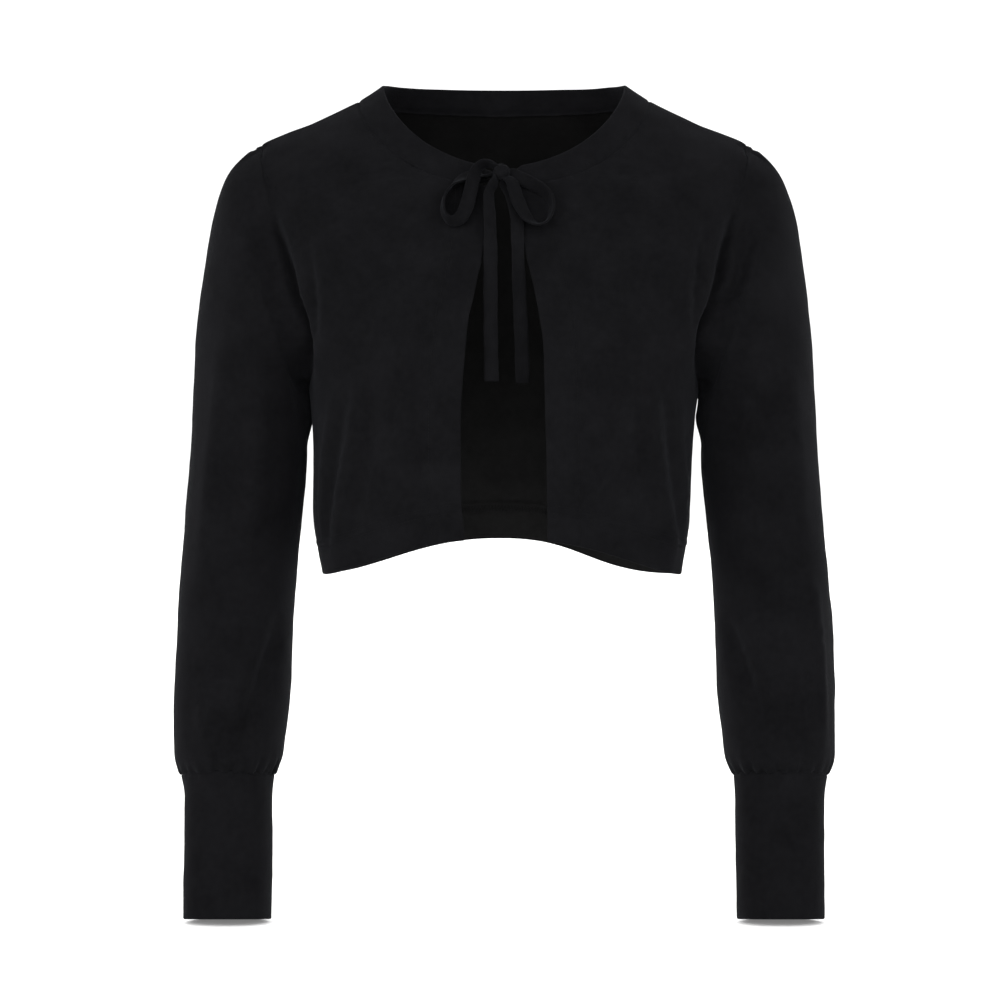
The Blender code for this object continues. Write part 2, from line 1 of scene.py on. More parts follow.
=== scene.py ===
# %% [markdown]
# # A cropped cardigan that ties at the neck
#
# This lesson dresses a plain solid model of a cardigan as fine black jersey. The garment is filled out as
# if somebody wore it, so it is a hollow form: two fronts, a back, two sleeves, two deep cuffs, a neckband
# and two narrow ties in a bow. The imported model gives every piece's place and size, in metres, with the
# fronts facing -Y and +X on the wearer's left.

import math
from collections import namedtuple

import bpy
import numpy as np
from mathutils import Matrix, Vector
from mathutils.kdtree import KDTree


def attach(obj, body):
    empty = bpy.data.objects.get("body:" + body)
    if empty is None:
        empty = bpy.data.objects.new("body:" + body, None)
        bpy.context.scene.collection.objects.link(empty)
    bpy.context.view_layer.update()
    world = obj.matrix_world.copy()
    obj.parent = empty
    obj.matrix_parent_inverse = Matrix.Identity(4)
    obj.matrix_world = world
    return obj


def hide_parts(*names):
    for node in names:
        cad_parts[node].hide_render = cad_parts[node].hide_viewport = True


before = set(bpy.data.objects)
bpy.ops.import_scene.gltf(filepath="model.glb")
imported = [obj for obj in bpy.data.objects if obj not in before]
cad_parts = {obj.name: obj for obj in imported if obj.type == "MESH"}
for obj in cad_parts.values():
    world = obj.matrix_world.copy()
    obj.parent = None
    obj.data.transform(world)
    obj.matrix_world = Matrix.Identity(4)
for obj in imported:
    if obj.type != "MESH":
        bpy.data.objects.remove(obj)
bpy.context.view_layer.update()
print("nodes:", ", ".join(sorted(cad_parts)))

# %% [markdown]
# ## The camera
#
# Shop pictures of clothes are taken level with the middle of the garment, from far enough away that the
# sleeves don't lean. A long lens at 2.6 m does that here. The camera comes first, because the ties are
# measured against what it sees.

# %% Set up the camera
EYE = Vector((0.0, -2.6, -0.326))
LENS = 119.04            # millimetres, on a 36 mm sensor

camera = bpy.data.objects.new("camera", bpy.data.cameras.new("camera"))
bpy.context.scene.collection.objects.link(camera)
camera.location = EYE
camera.rotation_euler = (math.radians(90), 0, 0)
camera.data.lens = LENS
camera.data.sensor_width = 36.0
bpy.context.scene.camera = camera
print("camera stands", -EYE.y, "m away, field of view", round(math.degrees(camera.data.angle), 1), "degrees")

# %% [markdown]
# ## Smooth curves through short tables
#
# A pattern cutter marks a few sizes and joins them with a curved ruler. `smooth` does the same for one
# size and never swings past a table's rows, so a hem can't bulge between two of them. `spline` carries
# whole points along, for tubes and ties. Both work on arrays: a panel needs thousands of points.

# %% Curves and other helpers
def smooth(stations, values, at):
    """A smooth curve through a table's rows, which never swings past them."""
    order = np.argsort(stations)
    xs, ys = np.asarray(stations, float)[order], np.asarray(values, float)[order]
    at = np.clip(at, xs[0], xs[-1])
    slopes = np.diff(ys) / np.diff(xs)
    before, after = slopes[:-1], slopes[1:]
    total = np.where(before * after > 0, before + after, 1.0)
    inner = np.where(before * after > 0, 2 * before * after / total, 0.0)
    tangents = np.concatenate([slopes[:1], inner, slopes[-1:]])
    i = np.clip(np.searchsorted(xs, at, side="right") - 1, 0, len(xs) - 2)
    step = xs[i + 1] - xs[i]
    t = (at - xs[i]) / step
    return ((2 * t**3 - 3 * t**2 + 1) * ys[i] + (t**3 - 2 * t**2 + t) * step * tangents[i]
            + (3 * t**2 - 2 * t**3) * ys[i + 1] + (t**3 - t**2) * step * tangents[i + 1])


def spline(stations, values, at):
    """A cubic spline through rows of points, or of anything else that has numbers."""
    x, y = np.asarray(stations, float), np.asarray(values, float)
    flat = y.reshape(len(x), -1)
    gap = np.diff(x)
    system = np.eye(len(x))
    wanted = np.zeros_like(flat)
    for i in range(1, len(x) - 1):
        system[i, i - 1:i + 2] = gap[i - 1], 2 * (gap[i - 1] + gap[i]), gap[i]
        wanted[i] = 6 * ((flat[i + 1] - flat[i]) / gap[i] - (flat[i] - flat[i - 1]) / gap[i - 1])
    bend = np.linalg.solve(system, wanted)
    at = np.clip(at, x[0], x[-1])
    i = np.clip(np.searchsorted(x, at, side="right") - 1, 0, len(x) - 2)
    a, b, h = ((x[i + 1] - at) / gap[i])[:, None], ((at - x[i]) / gap[i])[:, None], gap[i][:, None]
    out = a * flat[i] + b * flat[i + 1] + ((a**3 - a) * bend[i] + (b**3 - b) * bend[i + 1]) * h**2 / 6
    return out.reshape((len(at),) + y.shape[1:])


def unit(vectors):
    return vectors / np.maximum(np.linalg.norm(vectors, axis=-1, keepdims=True), 1e-12)


def gone(points):
    """The distance gone along rows of points, from 0."""
    steps = np.linalg.norm(np.diff(points, axis=-2), axis=-1)
    return np.concatenate([np.zeros_like(steps[..., :1]), np.cumsum(steps, axis=-1)], axis=-1)


def uneven(total, coarse, *dense):
    """Places from 0 to total, coarse apart, but closer inside each (start, end, spacing) of dense."""
    ramp = 0.012         # over which the spacing changes
    fine = np.linspace(0, total, 3001)
    step = np.full(len(fine), coarse)
    for start, end, close in dense:
        outside = np.clip(np.maximum(start - fine, fine - end) / ramp, 0, 1)
        step = np.minimum(step, close + (coarse - close) * outside)
    count = np.concatenate([[0], np.cumsum(2 * fine[1] / (step[1:] + step[:-1]))])
    return np.interp(np.linspace(0, count[-1], math.ceil(count[-1]) + 1), count, fine)


def column(rows, name):
    return [getattr(row, name) for row in rows]


def read_off(places, at, rows):
    """Rows of numbers at places between them, where at says how far along each row is."""
    return np.stack([np.interp(places, at, rows[:, k]) for k in range(rows.shape[1])], axis=-1)


def ease(share):
    """A share from 0 to 1 that starts and ends gently."""
    share = np.clip(share, 0, 1)
    return share**2 * (3 - 2 * share)


def signed_power(value, power):
    return np.sign(value) * np.abs(value) ** power


def metres(value):
    """Millimetres turned into metres, also all those of a list or of a list of points."""
    return [metres(v) for v in value] if isinstance(value, (list, tuple)) else round(value / 1000, 7)


def in_metres(rows, but=""):
    """A table's rows, with all columns but these turned from millimetres into metres."""
    return [row._replace(**{name: metres(value) for name, value in row._asdict().items()
                            if name not in but.split()}) for row in rows]


print("a curve through 0, 1, 1 stays at 1 or below:",
      smooth([0, 1, 2], [0, 1, 1], np.array([0.5, 1.5])).round(3))

# %% [markdown]
# ## The body form
#
# The body is a stack of rings, like the hoops of a dress form. Each ring is a squared ellipse that rises
# or dips at the front and back, so that one table gives the sloped shoulders, the round neck, the chest
# and the hem. The same table built the solid model, so the cloth lies where the solids are. Fronts and
# back are stretches of these rings, and the armhole is a loop drawn on the form.

# %% The form's tables
HALF_TURN = math.pi
CENTRE = math.pi / 2

Level = namedtuple("Level", "side_z front_rise back_rise front_power back_power "
                            "half_width middle front_depth back_depth squareness")
LEVELS = in_metres([
    Level(-12, -73, -3, 1.2, 1.5, 113, 0, 72, 72, 2),         # neck seam
    Level(-29, -68, -7, 1.2, 1.3, 149.5, 0, 79, 82, 1.88),    # half way to the next
    Level(-47, -64, -13, 1.1, 1.2, 188, 0, 85, 90, 1.82),     # shoulder point
    Level(-100, -42, -6, 1.2, 1.3, 193.5, 0, 98, 101, 1.95),
    Level(-165, -13, 0, 1.5, 1.5, 184, 0, 111, 107, 2.25),
    Level(-200, -4, 1, 1.5, 2, 171, 0, 117, 107, 2.38),
    Level(-235, 0, 2, 2, 2.5, 152, 0, 121, 105, 2.4),         # underarm
    Level(-285, 5, 6, 2.5, 3, 147.4, -0.8, 121, 102, 2.4),
    Level(-335, 14, 14, 3, 3.5, 147, -2, 118, 100, 2.35),
    Level(-380, 28.5, 27, 3.3, 4, 140.4, -1.6, 114, 98, 2.3), # hem
], but="front_power back_power squareness")
NECK, HEM = LEVELS[0].side_z, LEVELS[-1].side_z

# The back hangs lower beside the wearer's left hip.
SAG_X, SAG_WIDTH, SAG_DEPTH = 0.085, 0.040, 0.0055

ARMHOLE_TOP, ARMHOLE_BOTTOM = -0.047, -0.235
ARMHOLE_REACH = {"front": math.radians(31), "back": math.radians(22)}
ARMHOLE_SCOOP = 0.25
ARMHOLE_HALF_DEPTH = 0.056

Edge = namedtuple("Edge", "side_z right left")
FRONT_EDGES = in_metres([        # how far each front's edge hangs from the middle
    Edge(-12, 12.5, 7), Edge(-47, 13.7, 11.5), Edge(-80, 15.2, 15.5),
    Edge(-103, 17.3, 18.2), Edge(-119, 19.5, 20.3), Edge(-158, 24, 24.8),
    Edge(-176, 27, 27), Edge(-204, 29.3, 30), Edge(-235, 31.5, 30.8),
    Edge(-260, 32.7, 31.3), Edge(-325, 32.7, 32.7), Edge(-380, 29.8, 33.2),
])


def at_level(name, side_z):
    return smooth(column(LEVELS, "side_z"), column(LEVELS, name), side_z)


def body_points(side_z, angle, side, face):
    """Points of the body form. side is +1 for the wearer's left and -1 for the right."""
    cos, sin = np.clip(np.cos(angle), 0, 1), np.clip(np.sin(angle), 0, 1)
    power = 2 / at_level("squareness", side_z)
    x = at_level("middle", side_z) + side * at_level("half_width", side_z) * cos ** power
    depth = at_level(face + "_depth", side_z) * sin ** power
    rise = at_level(face + "_rise", side_z) * sin ** at_level(face + "_power", side_z)
    if face == "back":
        low_down = np.clip((ARMHOLE_BOTTOM - side_z) / (ARMHOLE_BOTTOM - HEM), 0, 1)
        off_the_seam = np.sin(np.minimum(2 * angle, CENTRE))
        rise = rise - SAG_DEPTH * low_down**2 * off_the_seam * np.exp(-((x - SAG_X) / SAG_WIDTH)**2)
    return np.stack(np.broadcast_arrays(x, -depth if face == "front" else depth, side_z + rise), axis=-1)


def angle_at(side_z, x):
    """The angle at which a ring of the body form reaches a place beside the middle."""
    share = np.minimum(1.0, abs(x - at_level("middle", side_z)) / at_level("half_width", side_z))
    return np.arccos(share ** (at_level("squareness", side_z) / 2))


def front_edge_angle(side_z, side):
    across = column(FRONT_EDGES, "left" if side > 0 else "right")
    return angle_at(side_z, side * smooth(column(FRONT_EDGES, "side_z"), across, side_z))


def armhole(turn, face):
    """(side_z, angle) of the armhole loop, at turns from 0 on the shoulder to half a turn under the arm."""
    middle, half = (ARMHOLE_TOP + ARMHOLE_BOTTOM) / 2, (ARMHOLE_TOP - ARMHOLE_BOTTOM) / 2
    angle = ARMHOLE_REACH[face] * np.sin(turn) * (1 - ARMHOLE_SCOOP * np.cos(turn))
    return middle + half * np.cos(turn), np.maximum(angle, 0.0)


def armhole_points(turns, side):
    """Points of the armhole loop. Turns above 0 run over the front, and those below 0 over the back."""
    front = body_points(*armhole(np.abs(turns), "front"), side, "front")
    back = body_points(*armhole(np.abs(turns), "back"), side, "back")
    return np.where((turns >= 0)[:, None], front, back)


chest = 2 * gone(body_points(np.full(300, -0.235), np.linspace(0, CENTRE, 300), 1, "back"))[-1]
print("across the back under the arms:", round(chest * 1000), "mm")

# %% [markdown]
# ## Panels on the form
#
# A sewn piece needs close rows of points where something small happens, such as a hem or a seam, and can
# do with wide ones elsewhere. `uneven` spaces them so. Each row of a front or back starts on the side
# seam, the armhole or the shoulder seam, and fans out to evenly spaced places at the centre. At a free
# edge a grid stops half a cloth's thickness short, because a rounded rim is added there later. At a sewn
# edge it goes nearly all the way, so that the neighbours' rims meet inside the seam.

# %% Grids for the fronts and the back
JERSEY = 0.0011          # one layer of the knit
FREE = JERSEY / 2        # how far a grid stops short of a free edge
SEWN = 0.0001            # and of a sewn one
HEM_DEPTH = 0.0285       # turned up inside at the hem
FACING_DEPTH = 0.0250    # turned in along each front edge
COARSE, FINE, FINEST = 0.0026, 0.0011, 0.0005
AT_SEAM = 0.003          # how far into a piece its finest rows reach
FRONT_WIDTH, BACK_HALF_WIDTH = 0.170, 0.200     # by which their columns are spaced


def outline(face):
    """(metres gone, side_z, angle) closely along a panel's side, armhole and shoulder."""
    turns = np.linspace(HALF_TURN, 0, 400)
    arm_z, arm_angle = armhole(turns, face)
    side_z = np.concatenate([np.linspace(HEM, ARMHOLE_BOTTOM, 80)[:-1], arm_z,
                             np.linspace(ARMHOLE_TOP, NECK, 60)[1:]])
    angle = np.concatenate([np.zeros(79), arm_angle, np.zeros(59)])
    return gone(body_points(side_z, angle, 1, face)), side_z, angle


def quarter(face, side, shares, end_angle):
    """Rows of points of half a body panel, from its outline to where end_angle says."""
    length, edge_z, edge_angle = outline(face)
    total = length[-1]
    rows = FREE + uneven(total - FREE - SEWN, COARSE,
                         (0, HEM_DEPTH + 0.002, FINE), (total - AT_SEAM, total, FINEST))
    u = np.linspace(0, 1, 400)
    grid = []
    for row in rows:
        start_z, start = np.interp(row, length, edge_z), np.interp(row, length, edge_angle)
        even_z = HEM + (NECK - HEM) * row / total
        side_z = start_z + (even_z - start_z) * (1 - (1 - u)**3)
        angle = start + (end_angle(even_z) - start) * u
        at = gone(body_points(side_z, angle, side, face))
        u_at = np.interp(shares * at[-1], at, u)
        grid.append(body_points(np.interp(u_at, u, side_z), np.interp(u_at, u, angle), side, face))
    return np.array(grid)


def front_grid(side):
    row = FRONT_WIDTH - FACING_DEPTH
    places = SEWN + uneven(FRONT_WIDTH - SEWN - FREE, COARSE, (0, AT_SEAM, FINEST),
                           (row - AT_SEAM, row + AT_SEAM, FINE),
                           (FRONT_WIDTH - AT_SEAM, FRONT_WIDTH, FINEST))
    return quarter("front", side, places / FRONT_WIDTH, lambda side_z: front_edge_angle(side_z, side))


def back_grid():
    places = SEWN + uneven(BACK_HALF_WIDTH - SEWN, COARSE, (0, AT_SEAM, FINEST))
    left, right = (quarter("back", side, places / BACK_HALF_WIDTH, lambda side_z: CENTRE)
                   for side in (1, -1))
    return np.concatenate([left, right[:, -2::-1]], axis=1)


grids = {"front_right": front_grid(-1), "front_left": front_grid(1), "back": back_grid()}
for name, grid in grids.items():
    print(name, "has", grid.shape[0], "rows of", grid.shape[1], "points")

# %% [markdown]
# ## Sleeves, cuffs and neckband
#
# A sleeve is cut flat and sewn into a tube under the arm, so its grid runs once round, from the seam over
# the back of the arm, its outer edge and its front, to the seam again. Its first ring is the armhole
# itself, and the next ones grow rounder down the arm. The cuff carries on from the sleeve's last ring. The
# neckband is the strip between the neck seam and its own upper edge.

# %% Grids for the tubes and the band
TUBE_SQUARENESS = 2.15
HEAD_RINGS = 7           # over which the armhole's shape gives way to a round one

Ring = namedtuple("Ring", "outer_x outer_z inner_x inner_z middle_y half_depth front_rise", defaults=[0])
SLEEVE_RINGS = in_metres([
    Ring(204, -56, 157, -237.8, -6, 53), Ring(217, -73, 157.5, -243, -5, 54),
    Ring(227, -101, 157.5, -248, -3, 53), Ring(233, -138, 156.5, -254, -2, 52),
    Ring(238, -180, 155, -264, -1, 51), Ring(242, -240, 153.5, -285, 0, 49.5),
    Ring(245.5, -295, 155.8, -318, 0, 47.5), Ring(249.8, -350, 159.8, -358, -2, 46),
    Ring(253.5, -401, 162.7, -401, -6, 45), Ring(254.2, -445, 164.5, -445, -11, 44),
    Ring(255.5, -485, 166.7, -485, -16, 43), Ring(255.3, -512, 169.8, -510, -19, 41.5),
    Ring(253.7, -526.5, 172.8, -526, -21, 38.5), Ring(250, -535, 177.5, -535, -22, 33.5),
])
CUFF_RINGS = in_metres([
    Ring(247.8, -546, 178.7, -546, -23, 30.5, 0.5), Ring(247.2, -562, 179.1, -562, -24, 29.5, 1),
    Ring(247, -603, 179.1, -603, -26, 29, 2), Ring(247.2, -646.3, 179.5, -646.3, -28, 28.5, 3.2),
])
BAND_HALF_WIDTH, BAND_FRONT_DEPTH, BAND_BACK_DEPTH = 0.0945, 0.0635, 0.0700
BAND_FRONT_DIP, BAND_FRONT_POWER = 0.0695, 1.3
BAND_BACK_RISE, BAND_BACK_POWER = 0.0042, 0.6
BAND_RAISE = 0.0010      # by which the rolled edge stands above the solid one
BAND_TAPER = 0.010       # over which its ends narrow to a tie's width
BAND_LAYERS = 0.0024     # folded double
CUFF_LAYERS = 0.0023
TIE_WIDTH = 0.0105


def tube_ring(turns, ring, armhole_share=0.0):
    """A ring of a sleeve or cuff on the wearer's left, which may keep a share of the armhole's shape."""
    power = 2 / TUBE_SQUARENESS
    across, ahead = signed_power(np.cos(turns), power), signed_power(np.sin(turns), power)
    if armhole_share:
        top, bottom = armhole_points(np.array([0.0, HALF_TURN]), 1)
        down = bottom - top
        sewn = armhole_points(turns, 1)
        across_sewn = 1 - 2 * (sewn - top) @ down / (down @ down)
        across = (1 - armhole_share) * across + armhole_share * across_sewn
        ahead = (1 - armhole_share) * ahead - armhole_share * sewn[:, 1] / ARMHOLE_HALF_DEPTH
    outer, inner = (np.array([x, 0, z]) for x, z in (ring[:2], ring[2:4]))
    points = (outer + inner) / 2 + (outer - inner) / 2 * across[:, None]
    points[:, 1] = ring.middle_y * (1 - armhole_share) - ring.half_depth * ahead
    points[:, 2] += ring.front_rise * (ring.middle_y - points[:, 1]) / ring.half_depth
    return points


def sleeve_rings(turns):
    return np.array([armhole_points(turns, 1)] + [tube_ring(turns, ring, max(0.0, 1 - (i + 1) / HEAD_RINGS))
                                                  for i, ring in enumerate(SLEEVE_RINGS)])


def cuff_rings(turns):
    return np.array([sleeve_rings(turns)[-1]] + [tube_ring(turns, ring) for ring in CUFF_RINGS])


def even_turns(width, steps):
    """Turns once round a tube, from its seam to its seam again, at these places of its width."""
    dense = np.linspace(-HALF_TURN, HALF_TURN, 1500)
    at = gone(sleeve_rings(dense)[-6])
    return np.interp(steps / width * at[-1], at, dense)


def tube_grid(rings_of, turns, side, rows):
    """Rows of points up a tube, at these shares of the way down it. side mirrors it."""
    rings = rings_of(turns)
    stations = gone(rings.mean(axis=1))
    close = spline(stations, rings, np.linspace(0, stations[-1], 500))
    at = gone(close.transpose(1, 0, 2))
    grid = np.stack([read_off(rows * at[i, -1], at[i], close[:, i]) for i in range(len(turns))], axis=1)
    return (grid * np.array([side, 1, 1]))[::-1]


def around(width):
    """Turns once round a tube, closest at the seam and over the front."""
    return even_turns(width, SEWN + uneven(width - 2 * SEWN, COARSE, (0, AT_SEAM, FINEST),
                                           (width - FINE_FRONT, width, 0.0016),
                                           (width - AT_SEAM, width, FINEST)))


FINE_FRONT, FINE_HEAD, FINE_GATHERS, FINE_FOLD = 0.080, 0.060, 0.022, 0.004
SLEEVE_LENGTH, SLEEVE_AROUND, CUFF_LENGTH, WRIST_AROUND = 0.490, 0.265, 0.112, 0.215
sleeve_rows = (SEWN + uneven(SLEEVE_LENGTH - 2 * SEWN, COARSE, (0, AT_SEAM, FINEST), (0, FINE_HEAD, 0.0015),
                             (SLEEVE_LENGTH - FINE_GATHERS, SLEEVE_LENGTH, FINE))) / SLEEVE_LENGTH
cuff_rows = (SEWN + uneven(CUFF_LENGTH - SEWN - CUFF_LAYERS / 2, COARSE, (0, 2 * AT_SEAM, FINEST),
                           (CUFF_LENGTH - FINE_FOLD, CUFF_LENGTH, FINE))) / CUFF_LENGTH
SIDES = ((-1, "right"), (1, "left"))
for side, word in SIDES:
    grids["sleeve_" + word] = tube_grid(sleeve_rings, around(SLEEVE_AROUND), side, sleeve_rows)
    grids["cuff_" + word] = tube_grid(cuff_rings, around(WRIST_AROUND), side, cuff_rows)


def band_top(angle, side, face):
    """Points of the neckband's upper edge."""
    ahead, across = np.clip(np.sin(angle), 0, 1), BAND_HALF_WIDTH * np.cos(angle)
    if face == "front":
        y, z = -BAND_FRONT_DEPTH * ahead, -BAND_FRONT_DIP * ahead ** BAND_FRONT_POWER
    else:
        y, z = BAND_BACK_DEPTH * ahead, BAND_BACK_RISE * ahead ** BAND_BACK_POWER
    return np.stack([side * across, y, z + BAND_RAISE * np.ones_like(across)], axis=-1)


def band_lines():
    """The neck seam and the neckband's upper edge, closely, from the left front edge round the back."""
    low, high = [], []
    for side, face, end in ((1, "front", front_edge_angle(NECK, 1)), (1, "back", CENTRE),
                            (-1, "back", CENTRE), (-1, "front", front_edge_angle(NECK, -1))):
        outwards = (face == "back") == (side > 0)
        angles = np.linspace(0, end, 200) if outwards else np.linspace(end, 0, 200)
        low.append(body_points(np.full(200, NECK), angles, side, face)[:-1])
        high.append(band_top(angles, side, face)[:-1])
    return np.concatenate(low), np.concatenate(high)


def neckband_grid():
    low, high = band_lines()
    at = gone((low + high) / 2)
    total = at[-1]
    places = uneven(total, COARSE * 0.8, (0, 0.012, FINE), (total - 0.012, total, FINE))
    low, high = (read_off(places, at, line) for line in (low, high))
    width = np.linalg.norm(high - low, axis=-1)
    narrow = ease(1 - np.minimum(places, total - places) / BAND_TAPER)
    half = (width * (1 - narrow) + TIE_WIDTH * narrow) / 2
    middle, up = (low + high) / 2, unit(high - low)
    shares = np.concatenate([[0.0, 0.02, 0.05], np.linspace(0.1, 0.95, 9), [0.975, 1.0]])
    return np.array([middle + up * (-half + SEWN + (2 * half - SEWN - BAND_LAYERS / 2) * share)[:, None]
                     for share in shares])


grids["neckband"] = neckband_grid()
for name in ("sleeve_left", "cuff_left", "neckband"):
    grid = grids[name]
    print(name, "has", grid.shape[0], "rows of", grid.shape[1], "points and is",
          round(gone(grid[len(grid) // 2])[-1] * 1000), "mm round or long in the middle")

# %% [markdown]
# ## Which way is out
#
# A fold moves cloth along the direction that it faces. Where two pieces are sewn together they have to
# move the same way, or the seam would open. So each grid point gets its own outward direction, and near
# an edge it is blended with that of the neighbouring piece.

# %% Outward directions, shared across the seams
EDGE_SPREAD = 0.0015     # how far along and across an edge directions are averaged
BLEND = 0.010            # how far into a piece its edges' directions reach


def outward_of(name):
    points = grids[name]
    down, across = np.gradient(points, axis=0), np.gradient(points, axis=1)
    direction = unit(np.cross(across, down))
    tube = name.startswith(("sleeve", "cuff"))
    middle = points.mean(axis=1, keepdims=True) if tube else points * np.array([0, 0, 1.0])
    return direction if ((points - middle) * direction).sum() > 0 else -direction


def edges_of(points):
    """The four edges of a grid, each as a line of points."""
    return {"bottom": points[0], "top": points[-1], "start": points[:, 0], "end": points[:, -1]}


def tree_of(points):
    tree = KDTree(len(points))
    for i, point in enumerate(points):
        tree.insert(point, i)
    tree.balance()
    return tree


def nearest(tree, points):
    """(index, distance) of the tree's nearest point to each of these."""
    found = [tree.find(point)[1:] for point in points.reshape(-1, 3)]
    index, away = zip(*found)
    return np.array(index).reshape(points.shape[:-1]), np.array(away).reshape(points.shape[:-1])


def kernel_means(targets, spreads, sources, weights, values):
    """For each target, the weighted mean of the values that the sources around it have."""
    result = np.empty((len(targets), values.shape[1]))
    for start in range(0, len(targets), 1000):
        some, spread = targets[start:start + 1000], spreads[start:start + 1000, None]
        apart = (some**2).sum(1)[:, None] + (sources**2).sum(1) - 2 * some @ sources.T
        kernel = weights * np.exp(-apart / (2 * spread**2))
        result[start:start + 1000] = kernel @ values / kernel.sum(axis=1, keepdims=True)
    return result


def shared_outward():
    """Every grid's outward directions, blended with those of its neighbours near the seams."""
    own_way = {name: outward_of(name) for name in grids}
    lines = {name: list(edges_of(grids[name]).values()) for name in grids}
    places = {name: np.concatenate(lines[name]) for name in grids}
    ways = np.concatenate([np.concatenate(list(edges_of(own_way[name]).values())) for name in grids])
    spacing = np.concatenate([np.gradient(gone(line)) for name in grids for line in lines[name]])
    every = np.concatenate([places[name] for name in grids])
    blended = {}
    for name, points in grids.items():
        spread = np.full(len(places[name]), EDGE_SPREAD)
        along = unit(kernel_means(places[name], spread, every, spacing, ways))
        index, away = nearest(tree_of(places[name]), points)
        weight = np.exp(-(away / BLEND)**2)[..., None]
        blended[name] = unit(own_way[name] * (1 - weight) + along[index] * weight)
    return blended


outward = shared_outward()
print("directions shared along the edges of", len(outward), "pieces")

# %% [markdown]
# The solid model has a crease where each sleeve meets the body. Jersey is too soft for that on the
# shoulder, so every point near the armhole moves towards the average of the cloth around it, on both sides
# of the seam. Averages also shrink whatever bulges, so a quarter of what a patch twice as wide would do is
# taken away again. Cloth that faces up or sideways hardly moves, so the garment keeps its outline.
#
# Under the arm the sleeve hangs against the side of the body, and only parts from it lower down. And the
# seam of each cuff rises a little at the front of the wrist.

# %% Round off the shoulders
ROUNDING_REACH = 0.036   # from the armhole's seam
ROUNDING = 1.7           # shares of the way to the average
LOOK_AROUND = 2.8        # reaches from the seam within which cloth counts in the averages
PATCH_Z = [ARMHOLE_BOTTOM, -0.150, -0.080, ARMHOLE_TOP]
PATCH_SIZE = [0.0040, 0.0065, 0.0100, 0.0100]
PRESS_FROM, PRESS_TO, PRESS_FADE = -0.2345, -0.282, 0.026
PRESS_GAP, PRESS_HALF_DEPTH = 0.011, 0.027      # wider gaps, and cloth further ahead or behind, stay
WRIST_Z, WRIST_REACH, WRIST_RISE = -0.535, 0.022, 0.0040
WRIST_FROM_Y, WRIST_DEPTH = -0.024, 0.031


def round_off(side, word):
    """Soften the crease along one armhole."""
    names = ["front_" + word, "back", "sleeve_" + word]
    seam = tree_of(armhole_points(np.linspace(-HALF_TURN, HALF_TURN, 300), 1) * np.array([side, 1, 1]))
    away = {name: nearest(seam, grids[name])[1] for name in names}
    sources, weights = [], []
    for name in names:
        points = grids[name]
        area = np.linalg.norm(np.cross(np.gradient(points, axis=0), np.gradient(points, axis=1)), axis=-1)
        thin = np.zeros(area.shape, bool)
        thin[::2, ::2] = True
        thin &= away[name] < LOOK_AROUND * ROUNDING_REACH
        sources.append(points[thin])
        weights.append(area[thin])
    sources, weights = np.concatenate(sources), np.concatenate(weights)
    for name in names:
        chosen = away[name] < ROUNDING_REACH
        targets = grids[name][chosen]
        patch = np.interp(targets[:, 2], PATCH_Z, PATCH_SIZE)
        small, large = (kernel_means(targets, times * patch, sources, weights, sources) - targets
                        for times in (1, 2))
        fade = ease(1 - away[name][chosen] / ROUNDING_REACH)
        fade = fade * np.clip(np.abs(outward[name][chosen][:, 1]) / 0.7, 0, 1)**1.5
        shift = ROUNDING * (small - large / 4) * fade[:, None]
        grids[name][chosen] += shift
        print(name, "was moved by up to", round(float(np.linalg.norm(shift, axis=1).max()) * 1000, 1), "mm")


def press_under_the_arm(name):
    """Lay the inner side of a sleeve against the side of the body, just below the armhole."""
    points = grids[name]
    x, y, z = np.abs(points[..., 0]), points[..., 1], points[..., 2]
    depth = np.where(y < 0, at_level("front_depth", z), at_level("back_depth", z))
    square = at_level("squareness", z)
    side = at_level("half_width", z) * np.clip(1 - (np.abs(y) / depth)**square, 0, 1)**(1 / square)
    gap = np.maximum(x - side, 0)
    press = (ease((z - PRESS_TO) / PRESS_FADE) * np.exp(-(gap / PRESS_GAP)**6) * (z < PRESS_FROM)
             * np.exp(-(y / PRESS_HALF_DEPTH)**4))
    points[..., 0] -= np.sign(points[..., 0]) * gap * press


def raise_the_wrist(name):
    points = grids[name]
    ahead = np.clip((WRIST_FROM_Y - points[..., 1]) / WRIST_DEPTH, 0, 1)
    points[..., 2] += WRIST_RISE * ahead * np.exp(-((points[..., 2] - WRIST_Z) / WRIST_REACH)**2)


for side, word in SIDES:
    round_off(side, word)
for side, word in SIDES:
    press_under_the_arm("sleeve_" + word)
    raise_the_wrist("sleeve_" + word)
    raise_the_wrist("cuff_" + word)
outward = shared_outward()
